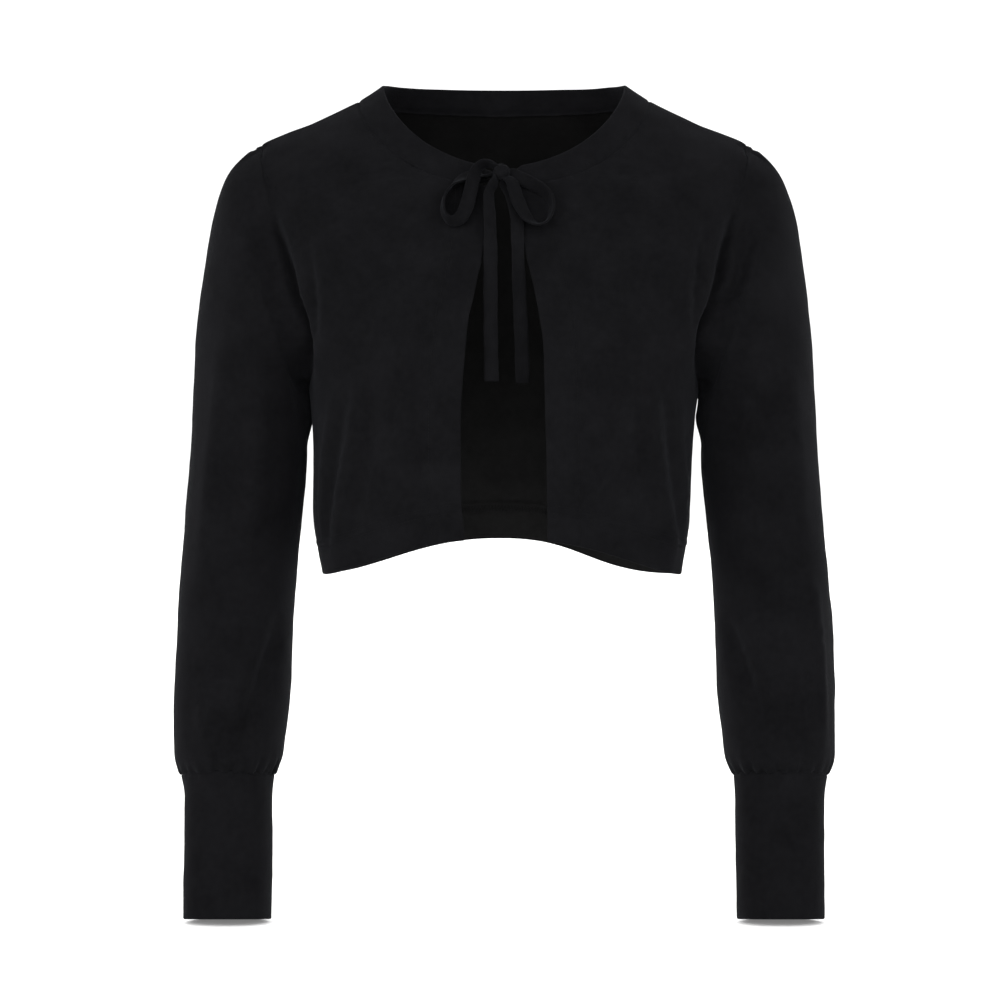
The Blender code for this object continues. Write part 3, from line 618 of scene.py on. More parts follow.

# %% [markdown]
# ## Folds
#
# Worn jersey has few folds: they run across the armholes where the arms hang, up from the bottom of the
# side seams, and down the sleeves. Each is laid along a short route, seen from the front, the
# back or a side, and is a soft trough or ridge that fades out at both ends. A fold that leans has one
# steep flank. A cloth simulation would give other folds than these, so none is used.

# %% The table of folds
Fold = namedtuple("Fold", "height width lean route")     # millimetres; a route's points are (across, up)
LEFT_ARM, RIGHT_ARM = "front_left sleeve_left", "front_right sleeve_right"
LEFT_BACK, RIGHT_BACK = "back sleeve_left", "back sleeve_right"
FOLDS = [                # (pieces, the side they are seen from, their folds)
    # the narrow crease between each arm and the front, in a wider hollow, with softer ones beside it
    (RIGHT_ARM, "front", [
        Fold(-11, 4.2, 0, [(-179, -100), (-168.8, -134.7), (-164.6, -151.6), (-160.4, -172.7),
            (-154, -189.6), (-152, -205), (-152.2, -220), (-152.5, -237)]),
        Fold(-6, 9.5, 0, [(-187, -105), (-174, -150), (-165, -185), (-160, -212), (-158, -242)]),
        Fold(-3.4, 4.8, 0, [(-150.9, -118), (-146.7, -151.6), (-144.6, -172.7), (-145.2, -198),
            (-148, -216)]),
        Fold(-6, 7, 0, [(-158, -176), (-154.5, -200), (-153.5, -220), (-153.5, -240)]),
    ]),
    ("sleeve_right", "front", [
        Fold(-3.4, 12, 0, [(-184, -170), (-173, -235), (-171, -345)]),
    ]),
    (LEFT_ARM, "front", [
        Fold(-11, 4.2, 0, [(178, -98), (169.3, -134.7), (165.1, -160), (159.8, -174.8), (156, -187.5),
            (151.5, -202), (151.5, -220), (152, -237)]),
        Fold(-6, 9.5, 0, [(186, -108), (173, -154), (164, -188), (159, -213), (158, -242)]),
        Fold(-3.4, 5.5, 0, [(156.6, -102), (150.3, -134.7), (147.1, -166.4), (146.1, -187.5),
            (148.2, -206)]),
        Fold(-6, 4.4, 0, [(191.5, -121), (183, -145.3), (178.8, -157.9), (170.3, -166.4), (161, -179)]),
        Fold(-6, 7, 0, [(158, -176), (154.5, -200), (153.5, -220), (153.5, -240)]),
    ]),
    ("sleeve_left", "front", [
        Fold(-3.6, 12, 0, [(182, -180), (172, -240), (170, -345)]),
    ]),
    # and from the back
    (RIGHT_BACK, "back", [
        Fold(-4.8, 9, 0.3, [(-176, -105), (-160, -160), (-148, -218)]),
        Fold(-3, 10, 0, [(-152, -130), (-136, -180), (-128, -240)]),
        Fold(2, 7, 0, [(-166, -140), (-151, -182), (-141, -222)]),
    ]),
    (LEFT_BACK, "back", [
        Fold(-4.4, 9, -0.3, [(175, -110), (161, -158), (149, -216)]),
        Fold(-3.4, 10, 0, [(150, -122), (137, -176), (126, -226)]),
        Fold(-2.2, 8, 0, [(190, -136), (178, -172), (160, -196)]),
    ]),
    # up from the bottom of the side seams, at the front
    ("front_right", "front", [
        Fold(4, 8.8, 0.3, [(-110, -222), (-111, -257), (-120, -301), (-128, -349), (-131, -378)]),
        Fold(-3.2, 6.2, 0, [(-121, -246), (-127, -286), (-133, -330), (-136, -366)]),
        Fold(2.2, 5.6, 0, [(-128.5, -232), (-134.6, -273), (-139, -315), (-137.5, -356)]),
        Fold(-3, 8, 0, [(-98, -234), (-100, -270), (-108, -316), (-117, -362)]),
        Fold(1.4, 11, 0, [(-84, -190), (-80, -245), (-86, -300)]),
        Fold(-1.2, 10, 0, [(-66, -212), (-60, -262), (-68, -318)]),
    ]),
    ("front_left", "front", [
        Fold(3.8, 8.8, -0.3, [(110, -226), (114, -265), (118, -301), (125, -335), (131, -378)]),
        Fold(-3.2, 6.2, 0, [(122, -240), (126, -280), (131.5, -320), (137, -360)]),
        Fold(2.2, 5.6, 0, [(137, -246), (134.5, -272), (138.5, -310), (139.5, -345)]),
        Fold(-2.8, 8.4, 0, [(97, -232), (102, -276), (111, -340)]),
        Fold(1.3, 12, 0, [(78, -186), (79, -236), (88, -310)]),
        Fold(-1.1, 10, 0, [(64, -205), (58, -255), (66, -322)]),
    ]),
    # and at the back
    ("back", "back", [
        Fold(3.4, 11, -0.3, [(-88, -250), (-97, -305), (-118, -376)]),
        Fold(2.4, 8, 0, [(-118, -262), (-124, -312), (-133, -366)]),
        Fold(-1.6, 12, 0, [(-62, -276), (-70, -326), (-82, -360)]),
        Fold(3.2, 11, 0.3, [(100, -240), (106, -300), (117, -376)]),
        Fold(2.4, 7.5, 0, [(122, -258), (128, -306), (134, -352)]),
        Fold(-1.8, 12, 0, [(70, -262), (76, -318), (90, -362)]),
        Fold(-1.2, 16, 0, [(6, -205), (2, -270), (10, -342)]),
    ]),
    # across the chest and between the shoulder blades
    ("front_right", "front", [
        Fold(-1.5, 3.6, 0, [(-126, -70.5), (-92, -73), (-56, -79.5)]),
        Fold(-0.9, 3, 0, [(-104, -59), (-76, -64), (-52, -70)]),
        Fold(-1, 5, 0, [(-94, -84), (-70, -93), (-58, -102)]),
    ]),
    ("front_left", "front", [
        Fold(-1.4, 3.6, 0, [(53, -79), (88, -74.2), (130, -72.5)]),
        Fold(-0.8, 3, 0, [(66, -64), (92, -60), (112, -61)]),
    ]),
    ("back", "back", [
        Fold(-0.9, 7, 0, [(-70, -46), (-10, -54), (62, -47)]),
    ]),
    # down the sleeves, at the front
    ("sleeve_right", "front", [
        Fold(2.2, 10, 0.3, [(-217, -190), (-224, -278), (-230.5, -350), (-233, -402)]),
        Fold(-1.6, 11, 0, [(-196, -215), (-201, -300), (-204, -372)]),
        Fold(-5.4, 8, 0.3, [(-172, -410), (-184, -455), (-193, -484), (-203, -520)]),
        Fold(1.6, 8.5, 0, [(-181.5, -404), (-196, -452), (-211, -494)]),
        Fold(-1.6, 3.6, 0, [(-236, -451.5), (-222, -453), (-208, -455)]),
        Fold(2.6, 7, 0, [(-231, -455), (-229, -487), (-222, -522)]),
    ]),
    ("sleeve_left", "front", [
        Fold(3, 5.6, 0, [(237, -378), (241.3, -421), (243, -451), (243.6, -483), (244.5, -518)]),
        Fold(2, 11, -0.3, [(221, -205), (227, -290), (231, -372)]),
        Fold(-1.5, 11, 0, [(199, -210), (203, -290), (207, -366)]),
        Fold(-5.2, 7.8, -0.3, [(170.6, -412), (184.4, -456), (193.5, -490), (196.2, -512)]),
        Fold(1.6, 8.5, 0, [(182, -406), (198, -456), (208, -500)]),
    ]),
    # along their outer and inner edges
    ("sleeve_right", "right", [
        Fold(-2.6, 7, 0, [(6, -446), (-4, -476), (-10, -516)]),
        Fold(-0.9, 14, 0, [(-12, -250), (4, -330), (0, -400)]),
    ]),
    ("sleeve_left", "left", [
        Fold(1.8, 6, 0, [(-8, -395), (-14, -440), (-18, -484)]),
        Fold(-1.8, 10, 0, [(14, -230), (4, -310), (6, -392)]),
        Fold(2, 7, 0, [(10, -452), (2, -486), (-4, -520)]),
    ]),
    # and at the back, where the elbows bend
    ("sleeve_right", "back", [
        Fold(-3.4, 10, 0.3, [(-240, -268), (-212, -322), (-178, -345)]),
        Fold(2.2, 9, 0, [(-238, -304), (-210, -352), (-182, -368)]),
        Fold(-3, 10, 0, [(-236, -415), (-221, -470), (-219, -522)]),
        Fold(2.2, 8, 0, [(-204, -430), (-196, -478), (-198, -520)]),
    ]),
    ("sleeve_left", "back", [
        Fold(-3.6, 10, -0.3, [(240, -280), (214, -330), (180, -356)]),
        Fold(-2, 8, 0, [(234, -246), (206, -292), (176, -312)]),
        Fold(-3.2, 10, 0, [(233, -400), (222, -462), (214, -522)]),
        Fold(2, 8, 0, [(208, -424), (198, -474), (190, -520)]),
    ]),
]
print(sum(len(folds) for _, _, folds in FOLDS), "folds laid by hand")

# %% [markdown]
# A route is only two-dimensional, so each fold is first dropped onto the cloth that faces that way. After
# that, everything is measured in space: how far each point of the cloth is from the fold, and on which
# side of it.

# %% Lay the folds on the cloth
SEEN = {"front": (0, 1, -1), "back": (0, 1, 1), "left": (1, 0, 1), "right": (1, 0, -1)}
ROUTE_SAMPLES = 25
FILL, FILL_X, FILL_Z = 0.0014, 0.190, -0.049    # the fulness of a sleeve's head, and its place
FILL_SIZE, FILL_DEPTH = 0.013, 0.040


def on_the_cloth(pieces, seen_from, route):
    """A fold's route in space, with the direction that the cloth faces along it."""
    flat_axis, facing_axis, sign = SEEN[seen_from]
    points = np.concatenate([grids[name].reshape(-1, 3) for name in pieces])
    facing = np.concatenate([outward[name].reshape(-1, 3) for name in pieces])
    seen = facing[:, facing_axis] * sign > 0.02
    points, facing = points[seen], facing[seen]
    route = np.array(route)
    at = gone(route)
    places = spline(at, route, np.linspace(0, at[-1], ROUTE_SAMPLES))
    away = (points[None, :, flat_axis] - places[:, None, 0])**2 + (points[None, :, 2] - places[:, None, 1])**2
    found = away.argmin(axis=1)
    return points[found], facing[found]


def fold_height(fold, line, facing, points):
    """How far this fold moves each of the points outwards."""
    height = np.zeros(points.shape[:-1])
    reach = 3 * fold.width
    near = ((points > line.min(axis=0) - reach) & (points < line.max(axis=0) + reach)).all(axis=-1)
    if not near.any():
        return height
    some = points[near]
    start, along = line[:-1], np.diff(line, axis=0)
    length = np.maximum((along**2).sum(axis=1), 1e-12)
    t = np.clip(((some[:, None] - start) * along).sum(axis=-1) / length, 0, 1)
    offset = some[:, None] - start - t[..., None] * along
    away = np.linalg.norm(offset, axis=-1)
    best = away.argmin(axis=1)
    rows = np.arange(len(some))
    side = np.sign((np.cross(along[best], offset[rows, best]) * facing[best]).sum(axis=-1))
    width = fold.width * (1 + 0.5 * fold.lean * side)
    share = (best + t[rows, best]) / len(along)
    fade = 1 - np.abs(2 * share - 1)**2.6
    height[near] = fold.height * fade * np.exp(-(away[rows, best] / width)**2)
    return height


def shoulder_fill(points):
    """The sleeve head's fulness, which carries the shoulder's line over the seam."""
    x, y, z = np.abs(points[..., 0]), points[..., 1], points[..., 2]
    return FILL * np.exp(-((x - FILL_X)**2 + (z - FILL_Z)**2) / FILL_SIZE**2 - (y / FILL_DEPTH)**2)


heights = {name: shoulder_fill(grid) for name, grid in grids.items()}
for pieces, seen_from, folds in FOLDS:
    pieces = pieces.split()
    for fold in in_metres(folds, but="lean"):
        line, facing = on_the_cloth(pieces, seen_from, fold.route)
        for name in pieces:
            heights[name] += fold_height(fold, line, facing, grids[name])
for name, height in heights.items():
    low, high = round(height.min() * 1000, 1), round(height.max() * 1000, 1)
    print(name, "is moved by folds from", low, "to", high, "mm")

# %% [markdown]
# ## Gathers, puckers and the hand of the cloth
#
# The sleeve is fuller than its cuff, so it is gathered: small uneven ridges stand up at the seam and die
# out within two or three centimetres. Every sewn seam also pulls its cloth a little, in ripples only a few
# tenths of a millimetre high. And a knit is never quite flat, so long, faint waves run through all pieces
# alike. The random draws are seeded, so the garment comes out the same every time.

# %% Add the small unevenness
draw = np.random.default_rng(11)
WAVES, WAVE_STEEPNESS = 16, 0.010


def edge_distance(name, edge):
    """(index along the edge, distance) for each of a piece's points."""
    return nearest(tree_of(edges_of(grids[name])[edge]), grids[name])


def gathers(name, edge, count, height, reach):
    """Small ridges and troughs that start at an edge."""
    line = edges_of(grids[name])[edge]
    at = gone(line)
    index, away = edge_distance(name, edge)
    place = at[index]
    total = np.zeros(away.shape)
    for i in range(count):
        centre = at[-1] * (i + draw.uniform(-0.5, 0.5)) / count
        width, length = draw.uniform(0.0012, 0.0034), reach * draw.uniform(0.30, 1.0)
        tall = height * draw.uniform(0.15, 1.0) * (1 if i % 2 else -1)
        drift = draw.uniform(-0.12, 0.12) * away
        apart = np.abs(place - centre - drift)
        apart = np.minimum(apart, np.abs(apart - at[-1]))
        total += tall * np.exp(-(apart / (width + 0.10 * away))**2) * np.exp(-(away / length)**1.5)
    return total


def puckers(name, edge, height, spacing, reach):
    """Low, uneven ripples along a sewn edge."""
    at = gone(edges_of(grids[name])[edge])
    index, away = edge_distance(name, edge)
    count = max(4, int(at[-1] / spacing))
    knots = np.linspace(0, at[-1], count)
    values = draw.uniform(-1, 1, count) * height
    return smooth(knots, values, at[index]) * np.exp(-(away / reach)**2)


def waves(points):
    """Long, faint waves, the same function of place for every piece."""
    steady = np.random.default_rng(5)
    total = np.zeros(points.shape[:-1])
    for _ in range(WAVES):
        direction = unit(steady.normal(size=3) * np.array([1.2, 1.0, 0.6]))
        length = steady.uniform(0.018, 0.070)
        phase = steady.uniform(0, 6.3)
        total += WAVE_STEEPNESS * length * np.sin(points @ direction * 2 * math.pi / length + phase) / 4
    return total


PANELS = "front_right front_left back"
GATHERS = [              # (pieces, edge, count, height, reach)
    ("sleeve_right sleeve_left", "bottom", 44, 0.0024, 0.018),
    ("cuff_right cuff_left", "top", 38, 0.0005, 0.006),
]
PUCKERS = [              # (pieces, edge, height, spacing, reach)
    (PANELS, "top", 0.0003, 0.007, 0.006),
    ("neckband", "bottom", 0.0003, 0.007, 0.006),
    (PANELS, "bottom", 0.0004, 0.011, 0.020),
    ("front_right front_left", "end", 0.0004, 0.016, 0.018),
]
for names, edge, count, height, reach in GATHERS:
    for name in names.split():
        heights[name] += gathers(name, edge, count, height, reach)
for names, edge, height, spacing, reach in PUCKERS:
    for name in names.split():
        heights[name] += puckers(name, edge, height, spacing, reach)

SEAM_DIP, DEEP_DIP, SEAM_WIDTH = 0.00016, 0.00065, 0.0010
SEWN_EDGES = [           # (pieces, edge with a deep dip, other sewn edges)
    ("front_right front_left", "top", "start"), ("back", "top", "start end"),
    ("sleeve_right sleeve_left", "bottom", "top start end"), ("cuff_right cuff_left", "top", "start end"),
    ("neckband", "bottom", ""),
]
for names, deep, others in SEWN_EDGES:
    for name in names.split():
        heights[name] += waves(grids[name])
        for edge in [deep] + others.split():
            _, away = edge_distance(name, edge)
            heights[name] -= (DEEP_DIP if edge == deep else SEAM_DIP) * np.exp(-(away / SEAM_WIDTH)**2)
print("long waves reach", round(float(np.abs(waves(grids["back"])).max()) * 1000, 2), "mm")

# %% [markdown]
# ## Materials
#
# Fine jersey shows columns of little V-shaped stitches on its right side and rows of bumps on its wrong
# side. A node group turns a place on the cloth, in metres, into that relief, and every cloth material uses
# it with its own sizes. A second group gives the slow, cloudy change in tone that a washed black knit has.

# %% Build the shader groups
def new_group(name, inputs, outputs):
    tree = bpy.data.node_groups.new(name, "ShaderNodeTree")
    for socket, kind, value in inputs:
        made = tree.interface.new_socket(socket, in_out="INPUT", socket_type=kind)
        if value is not None:
            made.default_value = value
    for socket, kind in outputs:
        tree.interface.new_socket(socket, in_out="OUTPUT", socket_type=kind)
    return tree, tree.nodes.new("NodeGroupInput").outputs, tree.nodes.new("NodeGroupOutput").inputs


def wire(tree, socket, value):
    """Link a socket to an output, or give it a plain value."""
    if isinstance(value, bpy.types.NodeSocket):
        tree.links.new(value, socket)
    else:
        socket.default_value = value


def calculate(tree, operation, *values):
    node = tree.nodes.new("ShaderNodeMath")
    node.operation = operation
    for socket, value in zip(node.inputs, values):
        wire(tree, socket, value)
    return node.outputs[0]


def noise(tree, vector, scale, detail=2.0, roughness=0.5):
    node = tree.nodes.new("ShaderNodeTexNoise")
    for name, value in (("Vector", vector), ("Scale", scale), ("Detail", detail), ("Roughness", roughness)):
        wire(tree, node.inputs[name], value)
    return node.outputs["Fac"]


def between(tree, value, low, high, from_low=0.0, from_high=1.0):
    node = tree.nodes.new("ShaderNodeMapRange")
    wire(tree, node.inputs["Value"], value)
    node.inputs["From Min"].default_value, node.inputs["From Max"].default_value = from_low, from_high
    node.inputs["To Min"].default_value, node.inputs["To Max"].default_value = low, high
    return node.outputs[0]


def split(tree, vector):
    """The x, y and z of a vector."""
    node = tree.nodes.new("ShaderNodeSeparateXYZ")
    tree.links.new(vector, node.inputs[0])
    return node.outputs


def knit_group():
    """Relief of a plain knit: 1 on top of the yarn, 0 between the stitches."""
    tree, given, out = new_group(
        "knit relief",
        [("Place", "NodeSocketVector", None), ("Column", "NodeSocketFloat", 0.0008),
         ("Row", "NodeSocketFloat", 0.0006), ("Slant", "NodeSocketFloat", 0.55)],
        [("Height", "NodeSocketFloat")])

    def do(operation, *values):
        return calculate(tree, operation, *values)

    place = split(tree, given["Place"])
    across = do("FRACT", do("DIVIDE", place[0], given["Column"]))
    edge = do("MULTIPLY", do("ABSOLUTE", do("SUBTRACT", across, 0.5)), 2.0)
    leg = do("SUBTRACT", 1.0, do("ABSOLUTE", do("SUBTRACT", do("MULTIPLY", edge, 2.0), 1.0)))
    down = do("DIVIDE", place[1], given["Row"])
    turned = do("ADD", down, do("MULTIPLY", edge, given["Slant"]))
    loop = do("MULTIPLY_ADD", do("COSINE", do("MULTIPLY", turned, 2 * math.pi)), 0.25, 0.75)
    tree.links.new(do("MULTIPLY", do("POWER", leg, 0.6), loop), out["Height"])
    return tree


def cloudy_group():
    """Slow and quick changes in tone and a fine fuzz, each from 0 to 1, by place on the garment."""
    tree, given, out = new_group(
        "cloudy tone",
        [("Place", "NodeSocketVector", None), ("Patch", "NodeSocketFloat", 28.0)],
        [("Slow", "NodeSocketFloat"), ("Quick", "NodeSocketFloat"), ("Fuzz", "NodeSocketFloat")])
    place = given["Place"]
    slow = noise(tree, place, given["Patch"], 3.0, 0.55)
    quick = noise(tree, place, calculate(tree, "MULTIPLY", given["Patch"], 7.0), 2.0, 0.6)
    tree.links.new(between(tree, slow, 0, 1, 0.3, 0.7), out["Slow"])
    tree.links.new(between(tree, quick, 0, 1, 0.3, 0.7), out["Quick"])
    tree.links.new(noise(tree, place, 1400.0, 2.0, 0.7), out["Fuzz"])
    return tree


KNIT, CLOUDY = knit_group(), cloudy_group()
print("groups:", KNIT.name, "and", CLOUDY.name)

# %% [markdown]
# Black cloth is hard to light: nearly all that shows of it is the faint shine of its fibres. So the base
# colour is very dark with a little blue in it, the specular level is low, and a soft sheen brightens the
# cloth where it turns away from the eye, as on the outer edges of the sleeves.

# %% The cloth materials
RELIEF = 0.00012         # of the yarn, in metres
# The inside is darkened towards the neck between these heights: a painted shade.
NECK_SHADE_FROM, NECK_SHADE_TO = -0.28, -0.05        # heights between which the inside gets darker


def use_group(tree, group, **values):
    node = tree.nodes.new("ShaderNodeGroup")
    node.node_tree = group
    for name, value in values.items():
        wire(tree, node.inputs[name], value)
    return node.outputs


def blend_colours(tree, share, dark, light):
    node = tree.nodes.new("ShaderNodeMix")
    node.data_type = "RGBA"
    wire(tree, node.inputs["Factor"], share)
    node.inputs[6].default_value, node.inputs[7].default_value = dark, light
    return node.outputs[2]


def set_inputs(node, values):
    for name, value in values.items():
        node.inputs[name].default_value = value


def new_material(name):
    """(material, its node tree, its shader, the place on the garment)"""
    material = bpy.data.materials.new(name)
    material.use_nodes = True
    tree = material.node_tree
    place = tree.nodes.new("ShaderNodeTexCoord").outputs["Object"]
    return material, tree, tree.nodes["Principled BSDF"], place


def jersey(name, dark, light, column_width, row_height, slant, sheen, shade_near_neck=1.0):
    """A black knit that clouds between two tones, which are darkened towards the neck by the last argument's
    share, a painted shade.
    """
    material, tree, shader, place = new_material(name)
    cloth = tree.nodes.new("ShaderNodeUVMap")
    cloth.uv_map = "cloth"
    knit = use_group(tree, KNIT, Place=cloth.outputs[0], Column=column_width, Row=row_height, Slant=slant)
    cloudy = use_group(tree, CLOUDY, Place=place)
    mixed = calculate(tree, "ADD", calculate(tree, "MULTIPLY", cloudy["Slow"], 0.45),
                      calculate(tree, "MULTIPLY", cloudy["Quick"], 0.25))
    # The knit's relief also darkens the colour between the stitches: a painted shade in the knit's hollows.
    mixed = calculate(tree, "ADD", mixed, calculate(tree, "MULTIPLY", knit["Height"], 0.30))
    scaled = tree.nodes.new("ShaderNodeVectorMath")
    scaled.operation = "SCALE"
    tree.links.new(blend_colours(tree, mixed, dark, light), scaled.inputs[0])
    tree.links.new(between(tree, split(tree, place)[2], 1.0, shade_near_neck, NECK_SHADE_FROM, NECK_SHADE_TO),
                   scaled.inputs["Scale"])
    tree.links.new(scaled.outputs[0], shader.inputs["Base Color"])
    tree.links.new(between(tree, cloudy["Slow"], 0.78, 0.92), shader.inputs["Roughness"])
    relief = calculate(tree, "ADD", knit["Height"], calculate(tree, "MULTIPLY", cloudy["Fuzz"], 0.5))
    bump = tree.nodes.new("ShaderNodeBump")
    set_inputs(bump, {"Strength": 1.0, "Distance": RELIEF})
    tree.links.new(relief, bump.inputs["Height"])
    tree.links.new(bump.outputs[0], shader.inputs["Normal"])
    set_inputs(shader, {"Specular IOR Level": 0.015, "Sheen Weight": sheen, "Sheen Roughness": 0.35,
                        "Sheen Tint": (0.85, 0.88, 1.0, 1.0)})
    return material


DARK = (0.0020, 0.0020, 0.0023, 1)
outside = jersey("black jersey, right side", DARK, (0.0056, 0.0056, 0.0063, 1), 0.00085, 0.00065, 0.55, 0.020)
# The wrong side's tones are lighter than the right side's: painted light that stands in for light reaching
# into the hollow. Towards the neck they are darkened again, a painted shade.
inside = jersey("black jersey, wrong side, painted light and shade", (0.0072, 0.0072, 0.0073, 1), (0.0150, 0.0150, 0.0149, 1),
                0.0012, 0.00055, 0.12, 0.010, shade_near_neck=0.31)
doubled = jersey("black jersey, doubled", DARK, (0.0055, 0.0055, 0.0062, 1), 0.00080, 0.00060, 0.55, 0.020)

thread, tree, shader, place = new_material("black sewing thread")
tree.links.new(blend_colours(tree, noise(tree, place, 900.0), (0.0028, 0.0028, 0.0032, 1),
                             (0.0062, 0.0062, 0.0068, 1)), shader.inputs["Base Color"])
set_inputs(shader, {"Roughness": 0.6, "Specular IOR Level": 0.03})
print("materials:", ", ".join(m.name for m in (outside, inside, doubled, thread)))

# %% [markdown]
# ## From a grid to a piece of cloth
#
# A piece is closed like real cloth: an outer face, an inner face one or two layers further in, and a half
# round rim between them. Where an allowance is turned in, at the hem and the front edges, the cloth is two
# layers thick, with a small step at the allowance's raw edge. The fronts and the back get a shallow groove
# where a row of stitches pulls them down.

# %% Make the pieces
STITCH_ROWS = (0.0205, 0.0265)       # above the hem
FACING_ROW = 0.0235                  # in from a front edge
GROOVE, GROOVE_WIDTH = 0.00030, 0.0011
TUNNEL, TUNNEL_WIDTH = 0.00035, 0.0024          # how the cloth stands up between the hem's two rows
BAND_SEAM_TAPER = 0.0030             # over which the neckband thins to one layer at its seam
RIM_STEPS = 4
LAYERS = {"neckband": BAND_LAYERS, "cuff": CUFF_LAYERS}
TURNED = {"front_right": {"bottom": HEM_DEPTH, "end": FACING_DEPTH},
          "front_left": {"bottom": HEM_DEPTH, "end": FACING_DEPTH},
          "back": {"bottom": HEM_DEPTH}}


def inside_of(at, edge, softness=0.0008):
    """1 where at is less than edge, falling softly to 0 past it."""
    return 1 / (1 + np.exp(np.clip((at - edge) / softness * 4, -50, 50)))


def loop_indices(rows, columns):
    """(row, column) once round a grid's edge."""
    bottom = [(0, j) for j in range(columns - 1)]
    end = [(i, columns - 1) for i in range(rows - 1)]
    top = [(rows - 1, j) for j in range(columns - 1, 0, -1)]
    start = [(i, 0) for i in range(rows - 1, 0, -1)]
    return np.array(bottom + end + top + start)


def looks_away(vertices, quad, way):
    """Whether a face's corners run so that it faces away from this direction."""
    a, b, _, d = vertices[quad]
    return np.dot(np.cross(b - a, d - a), way) < 0


def new_piece(name, vertices, faces, materials, uv=None, kinds=None):
    """A smooth piece of the garment. uv has a row for each vertex, and kinds says each face's material."""
    mesh = bpy.data.meshes.new(name)
    mesh.from_pydata(vertices.tolist(), [], faces)
    if uv is not None:
        corners = np.array([corner for face in faces for corner in face])
        mesh.uv_layers.new(name="cloth").data.foreach_set("uv", uv[corners].ravel())
    for material in materials:
        mesh.materials.append(material)
    if kinds is not None:
        mesh.polygons.foreach_set("material_index", kinds)
    mesh.shade_smooth()
    piece = bpy.data.objects.new(name, mesh)
    bpy.context.scene.collection.objects.link(piece)
    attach(piece, "root")
    return piece


def cloth_mesh(name, outer, inner, materials):
    """A closed piece between two grids, with a rounded rim and the cloth's own measures as its UV map."""
    rows, columns = outer.shape[:2]
    ids = np.arange(rows * columns).reshape(rows, columns)
    loop = loop_indices(rows, columns)
    i, j = loop.T
    step_in = np.clip(loop, 1, (rows - 2, columns - 2))
    away = unit(outer[i, j] - outer[step_in[:, 0], step_in[:, 1]])
    middle, half = (outer[i, j] + inner[i, j]) / 2, (outer[i, j] - inner[i, j]) / 2
    away = unit(away - (away * unit(half)).sum(-1, keepdims=True) * unit(half))
    bulge = np.linalg.norm(half, axis=-1, keepdims=True)
    rims = [middle + half * math.cos(t) + away * bulge * math.sin(t)
            for t in np.linspace(0, math.pi, RIM_STEPS + 1)[1:-1]]
    vertices = np.concatenate([outer.reshape(-1, 3), inner.reshape(-1, 3)] + rims)

    quads = np.stack([ids[:-1, :-1], ids[:-1, 1:], ids[1:, 1:], ids[1:, :-1]], axis=-1).reshape(-1, 4)
    if looks_away(vertices, quads[0], outer[0, 0] - inner[0, 0]):
        quads = quads[:, ::-1]
    count = len(loop)
    rings = [ids[i, j]] + [2 * rows * columns + k * count + np.arange(count) for k in range(len(rims))]
    rings.append(ids[i, j] + rows * columns)
    strips = [np.stack([low, np.roll(low, -1), np.roll(high, -1), high], axis=-1)
              for low, high in zip(rings, rings[1:])]
    if looks_away(vertices, strips[1][0], away[0]):
        strips = [strip[:, ::-1] for strip in strips]
    faces = np.concatenate([quads, quads[:, ::-1] + rows * columns] + strips)

    across, along = gone(outer), gone(outer.transpose(1, 0, 2)).T
    across = across - across[:, columns // 2:columns // 2 + 1]
    along = along - along[rows // 2:rows // 2 + 1]
    flat = np.stack([across, along], axis=-1).reshape(-1, 2)
    uv = np.concatenate([flat, flat] + [flat[ids[i, j]]] * len(rims))
    kinds = np.zeros(len(faces), int)
    kinds[len(quads):2 * len(quads)] = len(materials) - 1
    return new_piece(name, vertices, faces.tolist(), materials, uv, kinds)


def wall(name):
    """(outer grid, inner grid) of a piece, with its folds, its stitched grooves and its turned-in layers."""
    height = heights[name]
    thickness = np.full(height.shape, LAYERS.get(name.split("_")[0], JERSEY))
    if name == "neckband":
        _, away = edge_distance(name, "bottom")
        thickness -= (BAND_LAYERS - JERSEY) * np.exp(-(away / BAND_SEAM_TAPER)**2)
    layers = np.zeros(height.shape)
    for edge, depth in TURNED.get(name, {}).items():
        _, away = edge_distance(name, edge)
        layers = np.maximum(layers, inside_of(away, depth))
        if edge == "bottom":
            height = height + TUNNEL * np.exp(-((away - sum(STITCH_ROWS) / 2) / TUNNEL_WIDTH)**2)
        for row in STITCH_ROWS if edge == "bottom" else (FACING_ROW,):
            groove = GROOVE * np.exp(-((away - row) / GROOVE_WIDTH)**2)
            height = height - groove
            thickness = thickness - 1.5 * groove
    thickness = thickness + JERSEY * layers
    outer = grids[name] + outward[name] * height[..., None]
    return outer, outer - outward[name] * thickness[..., None]


walls = {name: wall(name) for name in grids}
pieces = {}
for name, (outer, inner) in walls.items():
    skin = [doubled] if name.startswith(("cuff", "neckband")) else [outside, inside]
    pieces[name] = cloth_mesh(name + "_jersey", outer, inner, skin)
    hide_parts(name)
    print(name, "has", len(pieces[name].data.polygons), "faces")

# %% [markdown]
# ## Thread
#
# A hem like this is sewn on a twin-needle machine: two rows of stitches outside, with a zigzag thread
# between them inside. One row holds the facing down each front edge. Every stitch is a short piece of
# thread whose ends sink into the cloth.

# %% Sew the hems and facings
THREAD = 0.00019         # its radius
STITCH, PITCH = 0.0021, 0.0027
ROW_END = 0.0015         # how far a row stops short of the cloth's edge


def row_on(name, edge, distance, face):
    """(points, outward directions) of the line on one face of a piece that runs this far from an edge."""
    _, away = edge_distance(name, edge)
    points = walls[name][face]
    ways = outward[name] if face == 0 else -outward[name]
    if edge == "bottom":
        away, points, ways = away.T, points.transpose(1, 0, 2), ways.transpose(1, 0, 2)
    else:
        away, points, ways = away[:, ::-1], points[:, ::-1], ways[:, ::-1]
    return (np.array([read_off(distance, away[i], what[i]) for i in range(len(away))])
            for what in (points, ways))


def along_line(line, places):
    return read_off(places, gone(line), line)


